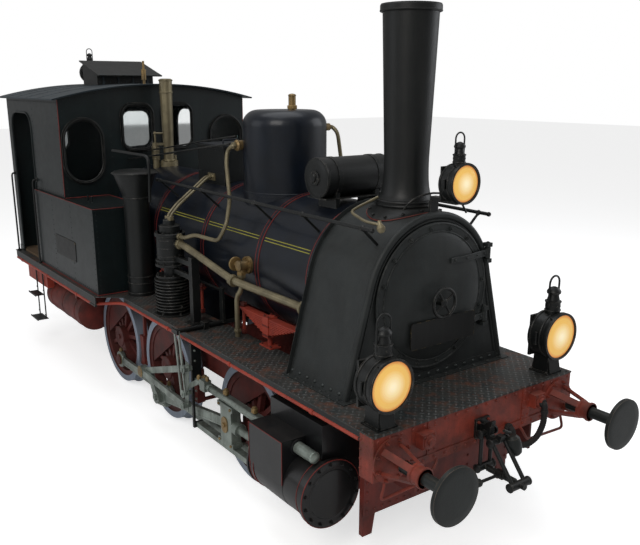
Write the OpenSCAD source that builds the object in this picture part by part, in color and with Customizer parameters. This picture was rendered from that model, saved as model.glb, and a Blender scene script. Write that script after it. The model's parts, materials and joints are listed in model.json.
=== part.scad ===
// Small three-axle tank locomotive for standard gauge.
// Millimetres. +X points forward, +Y to the engine's left, +Z up.
// The origin is on the floor, midway between the buffer faces. The wheel flanges touch z = 0.

/* [Overall] */
// Length over the buffers
buffer_length = 8591; // [8300:1:9000]
// Distance from a beam's face to the face of its buffers
buffer_reach = 600; // [560:5:650]
// Distance between the centres of two buffers
buffer_spacing = 1750; // [1700:1:1800]
// Height of the buffers' centres
buffer_z = 1059; // [1030:1:1090]
// Height of the top of the running board
board_z = 1260; // [1240:5:1300]
// Half the width of the running board in front of the bunkers
board_half_w = 1040; // [1020:5:1080]
// Half the width of the running board beside the cab
wide_half_w = 1285; // [1270:5:1320]

/* [Wheels and motion] */
// Diameter of the wheels on the tread
wheel_d = 1100; // [1060:5:1120]
// Depth of a wheel's flange below its tread
flange_h = 28; // [24:1:32]
// Width of a tyre
tyre_w = 136; // [130:1:140]
// Distance from the centre line to a tyre's inner face
back_half = 680; // [676:1:682]
// Place of the front axle
front_axle_x = 1784; // [1750:1:1800]
// Distance from the front axle to the driving axle
front_wheelbase = 1700; // [1690:5:1740]
// Distance from the driving axle to the rear axle
rear_wheelbase = 1300; // [1270:5:1310]
// Radius of an axle
axle_r = 80; // [70:1:90]
// Radius of the crank circle
crank_r = 275; // [250:1:280]
// Angle of the right crank, from forward, upwards
right_crank_deg = -56; // [-60:1:-50]
// Length of a connecting rod between its centres
conrod_l = 1450; // [1420:5:1480]
// Radius of the crank pins
pin_r = 45; // [40:1:50]
// Radial clearance of a pin in a rod's bore
pin_clear = 0.5; // [0.3:0.1:1]

/* [Cylinders] */
// Distance from the centre line to a cylinder's axis
cyl_y = 970; // [965:1:985]
// Radius of the cylinder's lagging
cyl_r = 245; // [230:1:250]
// Place of the cylinder's front face
cyl_front_x = 3160; // [3130:5:3180]
// Length of a cylinder
cyl_l = 830; // [800:5:860]
// Radius of a piston rod
rod_r = 34; // [30:1:36]

/* [Boiler] */
// Radius of the boiler's cladding
boiler_r = 615; // [600:1:625]
// Height of the boiler's axis
boiler_z = 1928; // [1920:1:1950]
// Place of the joint between the boiler and the smokebox
smokebox_rear_x = 2395; // [2380:5:2420]
// Length of the smokebox
smokebox_l = 735; // [700:5:760]
// Radius of the smokebox
smokebox_r = 632; // [630:1:640]
// Half the width of the smokebox at the running board
smokebox_half_w = 836; // [820:1:850]
// Thickness of the smokebox's plates
smokebox_wall = 14; // [10:1:20]
// Radius of the smokebox door
door_r = 560; // [540:5:570]
// Radius of the steam dome
dome_r = 392; // [370:1:400]
// Height of the top of the steam dome
dome_top_z = 3262; // [3200:1:3320]
// Radius of the steam dome's shoulder
dome_round = 140; // [100:5:160]
// Place of the steam dome's axis
dome_x = 1135; // [1100:5:1200]
// Height of the top of the chimney
chimney_top_z = 4048; // [3900:1:4100]
// Radius of the chimney at its foot
chimney_r = 163; // [155:1:170]
// Radius of the chimney below its top ring
chimney_top_r = 208; // [200:1:220]
// Place of the chimney's axis
chimney_x = 2805; // [2780:5:2830]

/* [Cab] */
// Place of the outer face of the cab's front wall
cab_front_x = -1655; // [-1700:5:-1640]
// Place of the outer face of the cab's rear wall
cab_rear_x = -3770; // [-3790:5:-3740]
// Half the width of the cab outside
cab_half_w = 1205; // [1190:5:1215]
// Thickness of the cab's walls
cab_wall = 12; // [8:1:16]
// Height of the cab's walls at the eaves
eave_z = 3331; // [3300:1:3360]
// Height of the roof's crown above its edges
roof_rise = 165; // [150:5:180]
// Half the width of the roof
roof_half_w = 1290; // [1280:5:1310]
// Thickness of the roof
roof_t = 14; // [10:1:20]
// Height of the top of the bunkers
bunker_top_z = 2208; // [2180:1:2240]
// Half the width over the bunkers
bunker_half_w = 1240; // [1230:5:1250]
// Place of the front of the bunkers
bunker_front_x = -680; // [-700:5:-640]
// Width of a doorway
doorway_w = 850; // [800:5:860]

/* [Hidden] */
$fn = 64;

// Levels and places that follow from the sizes above
buffer_x = buffer_length / 2;
beam_x = buffer_x - buffer_reach;
beam_t = 140;
flue_r = chimney_r - 20;
beam_half_w = 1036;
beam_bottom_z = 925;
board_t = 10;
axle_z = wheel_d / 2 + flange_h;
driving_x = front_axle_x - front_wheelbase;
rear_axle_x = driving_x - rear_wheelbase;
axle_places = [front_axle_x, driving_x, rear_axle_x];
left_crank_deg = right_crank_deg + 90;
frame_y = 600;
frame_t = 25;
frame_top_z = 1200;
frame_bottom_z = 690;

// Planes of the motion, outwards from the centre line
coupling_y = [858, 906];
conrod_y = [948, 992];
big_end_y = [940, 1000];
crosshead_y = [920, 1020];
bar_y = [934, 1006];
return_crank_y = [1003, 1043];
upper_rod_y = [1055, 1083];
lower_rod_y = [1091, 1119];

cyl_rear_x = cyl_front_x - cyl_l + 50;
smokebox_front_x = smokebox_rear_x + smokebox_l;
smokebox_top_z = boiler_z + smokebox_r - 10;
roof_r = (roof_half_w * roof_half_w + roof_rise * roof_rise) / (2 * roof_rise);
roof_crown_z = eave_z + roof_rise;
door_front_x = -2740;
door_rear_x = door_front_x - doorway_w;
door_top_z = 3150;
bunker_inner_y = 660;
floor_t = 25;
seat_gap = 0.3;

// Where each crosshead's pin stands for its crank angle
function crosshead_x(deg) =
    driving_x + crank_r * cos(deg) + sqrt(pow(conrod_l, 2) - pow(crank_r * sin(deg), 2));

// ---- building blocks ----

module block(x, y, z) {
    translate([x[0], y[0], z[0]])
        cube([x[1] - x[0], y[1] - y[0], z[1] - z[0]]);
}

module along_x(x, r, y = 0, z = 0) {
    translate([x[0], y, z]) rotate([0, 90, 0]) cylinder(h = x[1] - x[0], r = r);
}

module along_y(y, r, x = 0, z = 0) {
    translate([x, y[0], z]) rotate([-90, 0, 0]) cylinder(h = y[1] - y[0], r = r);
}

module both_sides() {
    children();
    mirror([0, 1, 0]) children();
}

module on_side(s) {
    if (s < 0) mirror([0, 1, 0]) children();
    else children();
}

// A round bar between two points
module bar(a, b, r, fn = 20) {
    d = b - a;
    l = norm(d);
    translate(a)
        rotate([0, acos(d[2] / l), atan2(d[1], d[0])])
            cylinder(h = l, r = r, $fn = fn);
}

// What is cut from a piece that sits on the boiler, or on the smokebox
module boiler_seat(x) along_x(x, boiler_r + seat_gap, 0, boiler_z, $fn = 240);

module smokebox_seat(x) along_x(x, smokebox_r + seat_gap, 0, boiler_z, $fn = 240);

function unit(v) = v / norm(v);

// The points of a path whose corners are rounded over the distance c
function rounded(p, c, n = 4) = [
    p[0],
    for (i = [1 : len(p) - 2])
        let (
            a = p[i - 1] - p[i],
            b = p[i + 1] - p[i],
            k = min(c, 0.45 * norm(a), 0.45 * norm(b)),
            from = p[i] + k * unit(a),
            to = p[i] + k * unit(b)
        )
        for (t = [0 : 1 / n : 1])
            (1 - t) * (1 - t) * from + 2 * t * (1 - t) * p[i] + t * t * to,
    p[len(p) - 1]
];

// Directions along a path at each of its points
function along(p) = [
    for (i = [0 : len(p) - 1])
        unit((i < len(p) - 1 ? unit(p[i + 1] - p[i]) : [0, 0, 0])
             + (i > 0 ? unit(p[i] - p[i - 1]) : [0, 0, 0]))
];

function first_side(d) = unit(cross(d, abs(d[2]) < 0.9 ? [0, 0, 1] : [1, 0, 0]));

// Directions across a path, carried along it without twist
function across(d) = [
    for (i = 0, s = first_side(d[0]); i < len(d);
         i = i + 1, s = i < len(d) ? unit(s - (s * d[i]) * d[i]) : s) s
];

// A bent tube through a list of points, closed at its ends
module tube(points, r, c = 60, sides = 10) {
    p = rounded(points, c);
    d = along(p);
    u = across(d);
    n = len(p);
    rings = [
        for (i = [0 : n - 1]) for (k = [0 : sides - 1])
            let (a = 360 * k / sides)
            p[i] + r * (cos(a) * u[i] + sin(a) * cross(d[i], u[i]))
    ];
    walls = [
        for (i = [0 : n - 2]) for (k = [0 : sides - 1])
            let (a = i * sides + k, b = i * sides + (k + 1) % sides)
            each [[a, a + sides, b], [b, a + sides, b + sides]]
    ];
    ends = [
        [for (k = [0 : sides - 1]) k],
        [for (k = [0 : sides - 1]) n * sides - 1 - k]
    ];
    polyhedron(points = rings, faces = concat(walls, ends));
}

// A flat bar in a plane across Y, between two points given as [x, z]
module flat_bar(a, b, y, h) {
    d = b - a;
    translate([a[0], y[0], a[1]])
        rotate([0, -atan2(d[1], d[0]), 0])
            translate([0, 0, -h / 2]) cube([norm(d), y[1] - y[0], h]);
}

// A window opening with round corners, cut along X, centred at y and z
module window_x(x, y, z, w, h, r) {
    block(x, [y - w / 2 + r, y + w / 2 - r], [z - h / 2, z + h / 2]);
    if (h > 2 * r) block(x, [y - w / 2, y + w / 2], [z - h / 2 + r, z + h / 2 - r]);
    for (dy = [-1, 1], dz = [-1, 1]) along_x(x, r, y + dy * (w / 2 - r), z + dz * (h / 2 - r));
}

// ---- frame ----

module horn_plate(ax) {
    difference() {
        block([ax - 190, ax + 190], [frame_y, frame_y + frame_t], [400, frame_bottom_z + 1]);
        block([ax - 115, ax + 115], [frame_y - 1, frame_y + frame_t + 1], [430, frame_bottom_z + 2]);
    }
}

module axlebox(ax) {
    difference() {
        block([ax - 115, ax + 115], [frame_y - 45, frame_y + 65], [450, frame_bottom_z + 10]);
        along_y([frame_y - 46, frame_y + 66], axle_r + 1, ax, axle_z);
    }
}

module frame_plates() color("#5a241f") {
    both_sides() {
        difference() {
            block([20 - beam_x, beam_x - 20], [frame_y, frame_y + frame_t],
                  [frame_bottom_z, frame_top_z]);
            for (ax = axle_places) block([ax - 115, ax + 115], [frame_y - 1, frame_y + frame_t + 1],
                                         [frame_bottom_z - 1, frame_bottom_z + 10]);
        }
        for (ax = axle_places) {
            horn_plate(ax);
            axlebox(ax);
        }
        // Guard iron ahead of the leading wheel
        block([3270, 3300], [700, 790], [230, 420]);
        block([3270, 3300], [frame_y, 790], [400, 930]);
    }
    // Front plate and cross stays between the two frame plates
    block([3300, 3325], [-790, 790], [400, 930]);
    for (x = [2560, 900, -2300, -3300])
        block([x - 15, x + 15], [-frame_y, frame_y], [760, frame_top_z - 30]);
}

socket_y = 590;
socket_reach = 70;

module buffer_beam() {
    difference() {
        block([beam_x - beam_t, beam_x], [-beam_half_w, beam_half_w], [beam_bottom_z, board_z - board_t]);
        // Slot for the draw hook's shank
        block([beam_x - beam_t - 1, beam_x + 1], [-24, 24], [buffer_z - 40, buffer_z + 40]);
        block([beam_x - beam_t - 1, beam_x - 20], [-beam_half_w + 12, -60],
              [beam_bottom_z - 1, board_z - board_t - 20]);
        block([beam_x - beam_t - 1, beam_x - 20], [60, beam_half_w - 12],
              [beam_bottom_z - 1, board_z - board_t - 20]);
    }
    // Socket boxes for the brake and steam pipes
    for (y = [-socket_y, socket_y])
        block([beam_x, beam_x + socket_reach], [y - 60, y + 60], [1080, 1190]);
}

module front_buffer_beam() color("#8c3a2d") buffer_beam();

module rear_buffer_beam() color("#8c3a2d") mirror([1, 0, 0]) buffer_beam();

module board_outline() {
    polygon([
        [beam_x + 6, board_half_w], [bunker_front_x + 180, board_half_w],
        [bunker_front_x - 20, wide_half_w], [-beam_x - 60, wide_half_w],
        [-beam_x - 60, -wide_half_w], [bunker_front_x - 20, -wide_half_w],
        [bunker_front_x + 180, -board_half_w], [beam_x + 6, -board_half_w]
    ]);
}

module running_board() color("#2b2a29") {
    translate([0, 0, board_z - board_t]) linear_extrude(board_t) difference() {
        board_outline();
        translate([-1960, -frame_y + 10]) square([1960 + smokebox_rear_x - 40, 2 * frame_y - 20]);
    }
    both_sides() {
        // Edge angle and round bar, stepped outwards beside the bunkers
        block([bunker_front_x + 180, beam_x - beam_t - 5], [board_half_w - 22, board_half_w - 12],
              [board_z - 70, board_z - board_t]);
        block([-beam_x - 60, bunker_front_x - 20], [wide_half_w - 22, wide_half_w - 12],
              [board_z - 110, board_z - board_t]);
        along_x([-beam_x - 50, bunker_front_x - 25], 14, wide_half_w - 17, board_z - 110);
        along_x([bunker_front_x + 185, beam_x - beam_t - 5], 14, board_half_w - 17, board_z - 70);
    }
}

module air_tanks() color("#5a241f") both_sides() {
    along_x([-3080, -1830], 225, 880, 735);
    for (x = [-2900, -2010]) block([x - 25, x + 25], [700, 1060], [900, board_z - board_t]);
}

// ---- cylinders and motion ----

module cylinder_block() {
    difference() {
        union() {
            along_x([cyl_rear_x + 20, cyl_front_x - 40], cyl_r, cyl_y, axle_z);
            along_x([cyl_front_x - 40, cyl_front_x], cyl_r + 20, cyl_y, axle_z);
            along_x([cyl_rear_x, cyl_rear_x + 20], cyl_r + 10, cyl_y, axle_z);
            // Valve chest outside, and the saddle that reaches in to the frame plate
            block([2415, 2885], [1000, 1218], [axle_z, 948]);
            block([2400, 3090], [frame_y + frame_t, 1000], [axle_z - 100, 1100]);
            along_x([2885, 3095], 42, 1080, 880);
        }
        along_x([cyl_rear_x - 1, cyl_front_x - 100], rod_r + 1, cyl_y, axle_z);
    }
}

module cylinder_right() color("#1c1d1f") on_side(-1) cylinder_block();

module cylinder_left() color("#1c1d1f") on_side(1) cylinder_block();

module slide_bars() {
    top = axle_z + 250;
    for (z = [[top - 50, top], [axle_z - 250, axle_z - 200]])
        block([1090, cyl_rear_x], bar_y, z);
    // Motion bracket, open where the connecting rod passes
    difference() {
        union() {
            block([1062, 1090], [bar_y[0], 1032], [axle_z - 250, board_z - 95]);
            block([1062, 1090], [bar_y[0], 1005], [board_z - 96, board_z - board_t]);
        }
        block([1061, 1091], [bar_y[0] - 1, 1014], [axle_z - 200, axle_z + 200]);
    }
}

module slide_bars_right() color("#8a9490") on_side(-1) slide_bars();

module slide_bars_left() color("#8a9490") on_side(1) slide_bars();

module valve_gear() {
    axle_end = [driving_x - 20, axle_z + 20];
    link_top = [1110, axle_z + 370];
    link_foot = [1060, axle_z - 10];
    valve_z = 880;
    // Sleeve at the axle's line, which carries the ends of both eccentric rods
    along_y([upper_rod_y[0], lower_rod_y[1] + 6], 62, axle_end[0], axle_end[1]);
    flat_bar(axle_end, link_top, upper_rod_y, 62);
    flat_bar(axle_end, link_foot, lower_rod_y, 62);
    // Link with its pins
    flat_bar(link_foot - [4, 60], link_top + [4, 60], [lower_rod_y[0] - 8, lower_rod_y[0]], 70);
    for (p = [link_top, link_foot])
        along_y([upper_rod_y[0] - 4, lower_rod_y[1] + 10], 30, p[0], p[1]);
    // Lifting links up to the arm of the reversing shaft
    for (x = [-42, 42])
        flat_bar([1085 + x, axle_z + 120], [shaft_x + x, shaft_z + 10], [lower_rod_y[1], lower_rod_y[1] + 14], 26);
    along_y([upper_rod_y[0] - 4, lower_rod_y[1] + 20], 22, 1085, axle_z + 120);
    // Valve rod into the chest
    flat_bar([1085, axle_z + 180], [1300, valve_z], [1056, 1084], 46);
    along_x([1290, 2415], 20, 1070, valve_z);
    block([1380, 1470], [1034, 1106], [valve_z - 45, valve_z + 55]);
    block([1405, 1445], [985, 1045], [axle_z + 250, axle_z + 280]);
}

module valve_gear_right() color("#8a9490") on_side(-1) valve_gear();

module valve_gear_left() color("#8a9490") on_side(1) valve_gear();

shaft_x = 995;
shaft_z = board_z + 26;

module reversing_shaft() color("#1f2021") {
    y_links = lower_rod_y[1] + 14;
    along_y([-y_links - 16, y_links + 16], 22, shaft_x, shaft_z);
    for (y = [-830, 830])
        block([shaft_x - 40, shaft_x + 40], [y - 25, y + 25], [board_z, board_z + 70]);
    // Arms that carry the lifting links
    both_sides() block([shaft_x - 60, shaft_x + 60], [y_links + seat_gap, y_links + 16],
                       [shaft_z - 18, shaft_z + 24]);
    // Arm and reach rod back to the cab, between the boiler and the bunker
    block([shaft_x - 30, shaft_x + 30], [-650, -626], [shaft_z, 1630]);
    bar([shaft_x, -638, 1605], [cab_front_x + seat_gap, -638, 1605], 11);
}

// Crank pin of one side at a wheel: dy is how far its end stands from the centre line
module crank_pin(ax, deg, end_y) {
    along_y([700, end_y], pin_r, ax + crank_r * cos(deg), axle_z + crank_r * sin(deg));
}

// One wheel, drawn for the left with its crank at the given angle
module wheel(ax, deg, end_y, weight_deg) {
    px = crank_r * cos(deg);
    pz = crank_r * sin(deg);
    translate([ax, 0, axle_z]) {
        // Tyre with its flange
        rotate([-90, 0, 0]) rotate_extrude($fn = 96) polygon([
            [wheel_d / 2 - 75, back_half], [wheel_d / 2 + flange_h - 8, back_half],
            [wheel_d / 2 + flange_h, back_half + 8], [wheel_d / 2 + flange_h, back_half + 18],
            [wheel_d / 2 + 4, back_half + 34], [wheel_d / 2, back_half + 66],
            [wheel_d / 2 - 4, back_half + tyre_w], [wheel_d / 2 - 75, back_half + tyre_w]
        ]);
        // Rim, spokes and hub
        difference() {
            along_y([back_half + 10, back_half + 120], wheel_d / 2 - 75);
            along_y([back_half + 9, back_half + 121], wheel_d / 2 - 125);
        }
        for (i = [0 : 10]) rotate([0, i * 360 / 11 - deg, 0])
            translate([60, back_half + 35, -22]) cube([wheel_d / 2 - 170, 50, 44]);
        along_y([back_half, back_half + 150], 125);
        // Boss of the crank pin
        rotate([0, -deg, 0]) block([0, crank_r], [back_half + 25, back_half + 145], [-75, 75]);
        along_y([back_half + 25, back_half + 165], 88, px, pz);
        // Balance weight between the spokes
        difference() {
            along_y([back_half + 30, back_half + 110], wheel_d / 2 - 110);
            rotate([0, -deg + weight_deg, 0])
                block([-190, 600], [back_half, back_half + 140], [-600, 600]);
        }
    }
    crank_pin(ax, deg, end_y);
    along_y([end_y - 8, end_y], pin_r + 16, ax + px, axle_z + pz);
}

module wheelset(ax, end_y, weight_deg = 0) {
    along_y([-back_half - 60, back_half + 60], axle_r, ax, axle_z);
    wheel(ax, left_crank_deg, end_y, weight_deg);
    mirror([0, 1, 0]) wheel(ax, right_crank_deg, end_y, weight_deg);
}

module wheelset_front() color("#5b2823") wheelset(front_axle_x, 914);

module wheelset_driving() color("#5b2823") wheelset(driving_x, 924);

module wheelset_rear() color("#5b2823") wheelset(rear_axle_x, 924);

// The coupling rod, drawn for the left with the cranks at the given angle
module coupling_rod(deg) {
    px = crank_r * cos(deg);
    pz = axle_z + crank_r * sin(deg);
    difference() {
        union() {
            block([rear_axle_x + px, front_axle_x + px], coupling_y + [8, -8], [pz - 45, pz + 45]);
            for (ax = axle_places) along_y(coupling_y, 92, ax + px, pz);
        }
        for (ax = axle_places)
            along_y(coupling_y + [-1, 1], pin_r + pin_clear, ax + px, pz);
    }
}

module coupling_rod_right() color("#8a9490") on_side(-1) coupling_rod(right_crank_deg);

module coupling_rod_left() color("#8a9490") on_side(1) coupling_rod(left_crank_deg);

small_pin_r = 35;

module connecting_rod(deg) {
    px = driving_x + crank_r * cos(deg);
    pz = axle_z + crank_r * sin(deg);
    cx = crosshead_x(deg);
    tilt = asin(crank_r * sin(deg) / conrod_l);
    difference() {
        union() {
            translate([cx, 0, axle_z]) rotate([0, 180 + tilt, 0])
                block([40, conrod_l - 60], conrod_y, [-45, 45]);
            along_y(conrod_y, 68, cx, axle_z);
            translate([px, 0, pz]) rotate([0, tilt, 0]) block([-100, 130], big_end_y, [-95, 95]);
        }
        along_y(conrod_y + [-1, 1], small_pin_r + pin_clear, cx, axle_z);
    }
    // Outer end of the crank pin with the return crank
    along_y([big_end_y[0] + 10, return_crank_y[1]], pin_r, px, pz);
    flat_bar([px, pz], [px + 0.86 * (driving_x - px), pz + 0.9 * (axle_z - pz)], return_crank_y, 90);
    along_y(return_crank_y, 70, px, pz);
}

module connecting_rod_right() color("#8a9490") on_side(-1) connecting_rod(right_crank_deg);

module connecting_rod_left() color("#8a9490") on_side(1) connecting_rod(left_crank_deg);

piston_rod_l = 1189;

module crosshead(deg) {
    cx = crosshead_x(deg);
    difference() {
        union() {
            block([cx - 130, cx + 130], crosshead_y, [axle_z + 150, axle_z + 194]);
            block([cx - 130, cx + 130], crosshead_y, [axle_z - 194, axle_z - 150]);
            block([cx - 75, cx + 110], crosshead_y, [axle_z - 194, axle_z + 194]);
        }
        block([cx - 140, cx + 82], [conrod_y[0] - 5, conrod_y[1] + 5], [axle_z - 140, axle_z + 140]);
    }
    along_y(crosshead_y, small_pin_r, cx, axle_z);
    along_x([cx + 110, cx + 190], 58, cyl_y, axle_z);
    along_x([cx + 110, cx + piston_rod_l], rod_r, cyl_y, axle_z);
}

module crosshead_right() color("#8a9490") on_side(-1) crosshead(right_crank_deg);

module crosshead_left() color("#8a9490") on_side(1) crosshead(left_crank_deg);

spring_y = 605;
leaf_t = 16;

module leaf_springs() color("#7c3128") both_sides() {
    // Leading and driving springs stand above the running board, over the frame plates
    for (ax = [front_axle_x, driving_x]) {
        for (i = [0 : 8])
            block([ax - 100 - 45 * i, ax + 100 + 45 * i], [spring_y - 42, spring_y + 42],
                  [1380 + leaf_t * i, 1380 + leaf_t * (i + 1)]);
        block([ax - 45, ax + 45], [spring_y - 50, spring_y + 50], [1350, 1535]);
        bar([ax, spring_y, board_z], [ax, spring_y, 1351], 22);
        block([ax - 90, ax + 90], [spring_y - 55, spring_y + 55], [board_z, board_z + 14]);
        for (x = [-440, 440]) bar([ax + x, spring_y, board_z], [ax + x, spring_y, 1540], 16);
    }
    // The trailing spring hangs below, inside the frame plate
    for (i = [0 : 4])
        block([rear_axle_x - 420 + 60 * i, rear_axle_x + 420 - 60 * i], [545, frame_y],
              [720 + leaf_t * i, 720 + leaf_t * (i + 1)]);
}

module brake_gear() color("#5b2823") both_sides() {
    for (ax = [driving_x, rear_axle_x]) {
        // Hanger and block ahead of the wheel
        difference() {
            block([ax + 480, ax + 640], [715, 800], [axle_z - 190, axle_z + 160]);
            along_y([714, 801], wheel_d / 2 + 12, ax, axle_z);
        }
        block([ax + 590, ax + 625], [740, 775], [axle_z + 100, board_z - board_t]);
    }
    for (ax = [driving_x, rear_axle_x])
        block([ax + 605, ax + 640], [0, 760], [axle_z - 180, axle_z - 150]);
}

// ---- buffers and couplings ----

module both_ends() {
    children();
    mirror([1, 0, 0]) children();
}

module buffer_housing() {
    y = buffer_spacing / 2;
    difference() {
        union() {
            along_x([beam_x, beam_x + 18], 165, y, buffer_z);
            along_x([beam_x + 235, beam_x + 330], 66, y, buffer_z);
            for (a = [45, 135, 225, 315]) translate([beam_x + 5, y, buffer_z]) rotate([a, 0, 0])
                translate([0, -25, 109]) rotate([0, 13.8, 0]) cube([252, 50, 22]);
        }
        along_x([beam_x + 20, beam_x + 331], 44, y, buffer_z);
    }
}

module buffer_housings() color("#8c3a2d") both_ends() both_sides() buffer_housing();

module buffer_heads() color("#1f2223") both_ends() both_sides() {
    y = buffer_spacing / 2;
    along_x([beam_x + 120, buffer_x - 30], 43.5, y, buffer_z);
    along_x([buffer_x - 45, buffer_x - 28], 80, y, buffer_z);
    along_x([buffer_x - 28, buffer_x], 196, y, buffer_z);
}

module screw_coupling() {
    hook_x = beam_x + 130;
    rear_pin = [beam_x + 62, buffer_z - 292];
    front_pin = [beam_x + 380, buffer_z - 302];
    // Draw hook with its plate on the beam
    block([beam_x - 130, hook_x - 20], [-22, 22], [buffer_z - 35, buffer_z + 35]);
    block([beam_x + seat_gap, beam_x + 22], [-70, 70], [buffer_z - 75, buffer_z + 75]);
    difference() {
        along_y([-22, 22], 85, hook_x, buffer_z);
        along_y([-23, 23], 38, hook_x, buffer_z + 8);
        block([hook_x - 10, hook_x + 100], [-23, 23], [buffer_z + 5, buffer_z + 100]);
    }
    along_y([-78, 78], 20, hook_x + 40, buffer_z - 50);
    along_y([-70, 70], 20, beam_x + 62, buffer_z - 20);
    // Rear links, the screw between the two trunnions, and the front links up to the hook
    for (s = [-1, 1]) {
        bar([beam_x + 62, 52 * s, buffer_z - 20], [rear_pin[0], 52 * s, rear_pin[1]], 15);
        bar([hook_x + 40, 62 * s, buffer_z - 50], [front_pin[0], 62 * s, front_pin[1]], 16);
    }
    along_y([-74, 74], 27, rear_pin[0], rear_pin[1]);
    along_y([-88, 88], 30, front_pin[0], front_pin[1]);
    bar([rear_pin[0], 0, rear_pin[1]], [front_pin[0] + 55, 0, front_pin[1] - 1], 22);
    // Lever with its ball
    bar([beam_x + 210, 0, buffer_z - 297], [beam_x + 160, -170, buffer_z - 335], 12);
    translate([beam_x + 160, -170, buffer_z - 335]) sphere(r = 27);
}

module screw_couplings() color("#26282a") both_ends() screw_coupling();

module brake_hoses() color("#141414") both_ends() tube([
    [beam_x + socket_reach + seat_gap, socket_y, 1125], [beam_x + 112, socket_y, 1125],
    [beam_x + 112, socket_y, 960], [beam_x + 95, 545, 850], [beam_x + 85, 430, 812],
    [beam_x + 80, 330, 850], [beam_x + 66, 290, 930], [beam_x + 60, 290, 978],
    [beam_x + seat_gap, 290, 978]
], 24, c = 50);

module cab_steps() color("#1c1d1f") both_sides() {
    for (z = [[404, 150], [746, 120]])
        block([-3330, -3020], [1275 - z[1], 1275], [z[0] - 8, z[0]]);
    for (x = [-3320, -3040]) block([x, x + 10], [1150, 1162], [404, board_z - board_t]);
    for (x = [-3320, -3040]) for (z = [396, 738]) block([x, x + 10], [1150, 1270], [z, z + 4]);
}

// ---- boiler ----

module boiler() color("#0f161c") along_x([cab_front_x + 1110, smokebox_rear_x], boiler_r, 0, boiler_z);

module firebox() color("#0f161c") {
    x = [-1960, cab_front_x + 1109.7];
    along_x(x, boiler_r, 0, boiler_z);
    block(x, [-boiler_r, boiler_r], [board_z + 20, boiler_z]);
    block([x[0], rear_axle_x - 120], [-540, 540], [720, boiler_z]);
    block([rear_axle_x - 130, x[1] - 20], [-540, 540], [720, boiler_z]);
}

module smokebox_solid(x, inset) {
    r = smokebox_r - inset;
    w = smokebox_half_w - inset;
    flare = 15.6;
    along_x(x, r, 0, boiler_z);
    translate([x[0], 0, 0]) rotate([90, 0, 90]) linear_extrude(x[1] - x[0]) polygon([
        [-r * cos(flare), boiler_z + r * sin(flare)], [-w, board_z + inset * 2],
        [w, board_z + inset * 2], [r * cos(flare), boiler_z + r * sin(flare)]]);
}

module smokebox() color("#262828") {
    smokebox_shell();
    // Lugs that carry the door's hinge pins
    for (z = [boiler_z - 250, boiler_z + 270]) difference() {
        for (dz = [-80, 48]) block([smokebox_front_x, smokebox_front_x + 56],
                                   [door_r - 16, door_r + 40], [z + dz, z + dz + 32]);
        translate([smokebox_front_x + 32, door_r + 12, z - 90]) cylinder(h = 180, r = 14.5);
    }
}

module smokebox_shell() difference() {
    smokebox_solid([smokebox_rear_x + seat_gap, smokebox_front_x], 0);
    smokebox_solid([smokebox_rear_x + 30, smokebox_front_x - smokebox_wall], smokebox_wall);
    along_x([smokebox_front_x - 60, smokebox_front_x + 1], door_r - 40, 0, boiler_z);
    translate([chimney_x, 0, boiler_z]) cylinder(h = 900, r = flue_r + 6);
}

module smokebox_door() color("#202222") {
    x = smokebox_front_x + 6;
    along_x([x, x + 22], door_r, 0, boiler_z);
    // Dished middle
    translate([x + 22, 0, boiler_z]) rotate([0, 90, 0]) cylinder(h = 46, r1 = door_r - 60, r2 = door_r - 230);
    // Handwheel and its spindle
    along_x([x + 60, x + 150], 20, 0, boiler_z - 26);
    translate([x + 140, 0, boiler_z - 26]) rotate([0, 90, 0])
        rotate_extrude() translate([92, 0]) circle(r = 12, $fn = 20);
    for (a = [0 : 60 : 120]) translate([x + 140, 0, boiler_z - 26]) rotate([a, 0, 0])
        cube([14, 184, 16], center = true);
    // Strap hinges
    for (z = [boiler_z - 250, boiler_z + 270]) {
        block([x + 22, x + 40], [120, door_r + 10], [z - 28, z + 28]);
        translate([x + 26, door_r + 12, z - 42]) cylinder(h = 84, r = 24);
        translate([x + 26, door_r + 12, z - 84]) cylinder(h = 168, r = 14);
    }
}

module chimney() color("#151616") {
    base_z = smokebox_top_z + 66;
    saddle_z = boiler_z + 0.85 * smokebox_r;
    difference() {
        translate([chimney_x, 0, 0]) union() {
            // Saddle on the smokebox, tapered stack, and the ring at the top
            translate([0, 0, saddle_z]) cylinder(h = base_z - saddle_z, r = chimney_r + 42);
            translate([0, 0, base_z - 15]) cylinder(h = 30, r = chimney_r + 59);
            translate([0, 0, base_z + 15]) cylinder(h = 80, r1 = chimney_r + 17, r2 = chimney_r);
            translate([0, 0, base_z + 94])
                cylinder(h = chimney_top_z - base_z - 144, r1 = chimney_r, r2 = chimney_top_r);
            translate([0, 0, chimney_top_z - 50]) cylinder(h = 50, r = chimney_top_r + 14);
        }
        smokebox_seat([chimney_x - 400, chimney_x + 400]);
        translate([chimney_x, 0, 2000]) cylinder(h = 3000, r = flue_r);
    }
}

module dome() color("#0e1418") difference() {
    translate([dome_x, 0, 0]) rotate_extrude() difference() {
        union() {
            translate([0, boiler_z]) square([dome_r, dome_top_z - boiler_z - dome_round]);
            translate([0, boiler_z]) square([dome_r - dome_round, dome_top_z - boiler_z]);
            translate([dome_r - dome_round, dome_top_z - dome_round]) circle(r = dome_round);
        }
        translate([-300, 0]) square([300, 5000]);
    }
    boiler_seat([dome_x - 600, dome_x + 600]);
}

module sandbox() color("#14191b") difference() {
    union() {
        block([-160, 400], [-240, 240], [2400, 2872]);
        block([-180, 420], [-260, 260], [2872, 2890]);
    }
    boiler_seat([-400, 600]);
}

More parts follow.
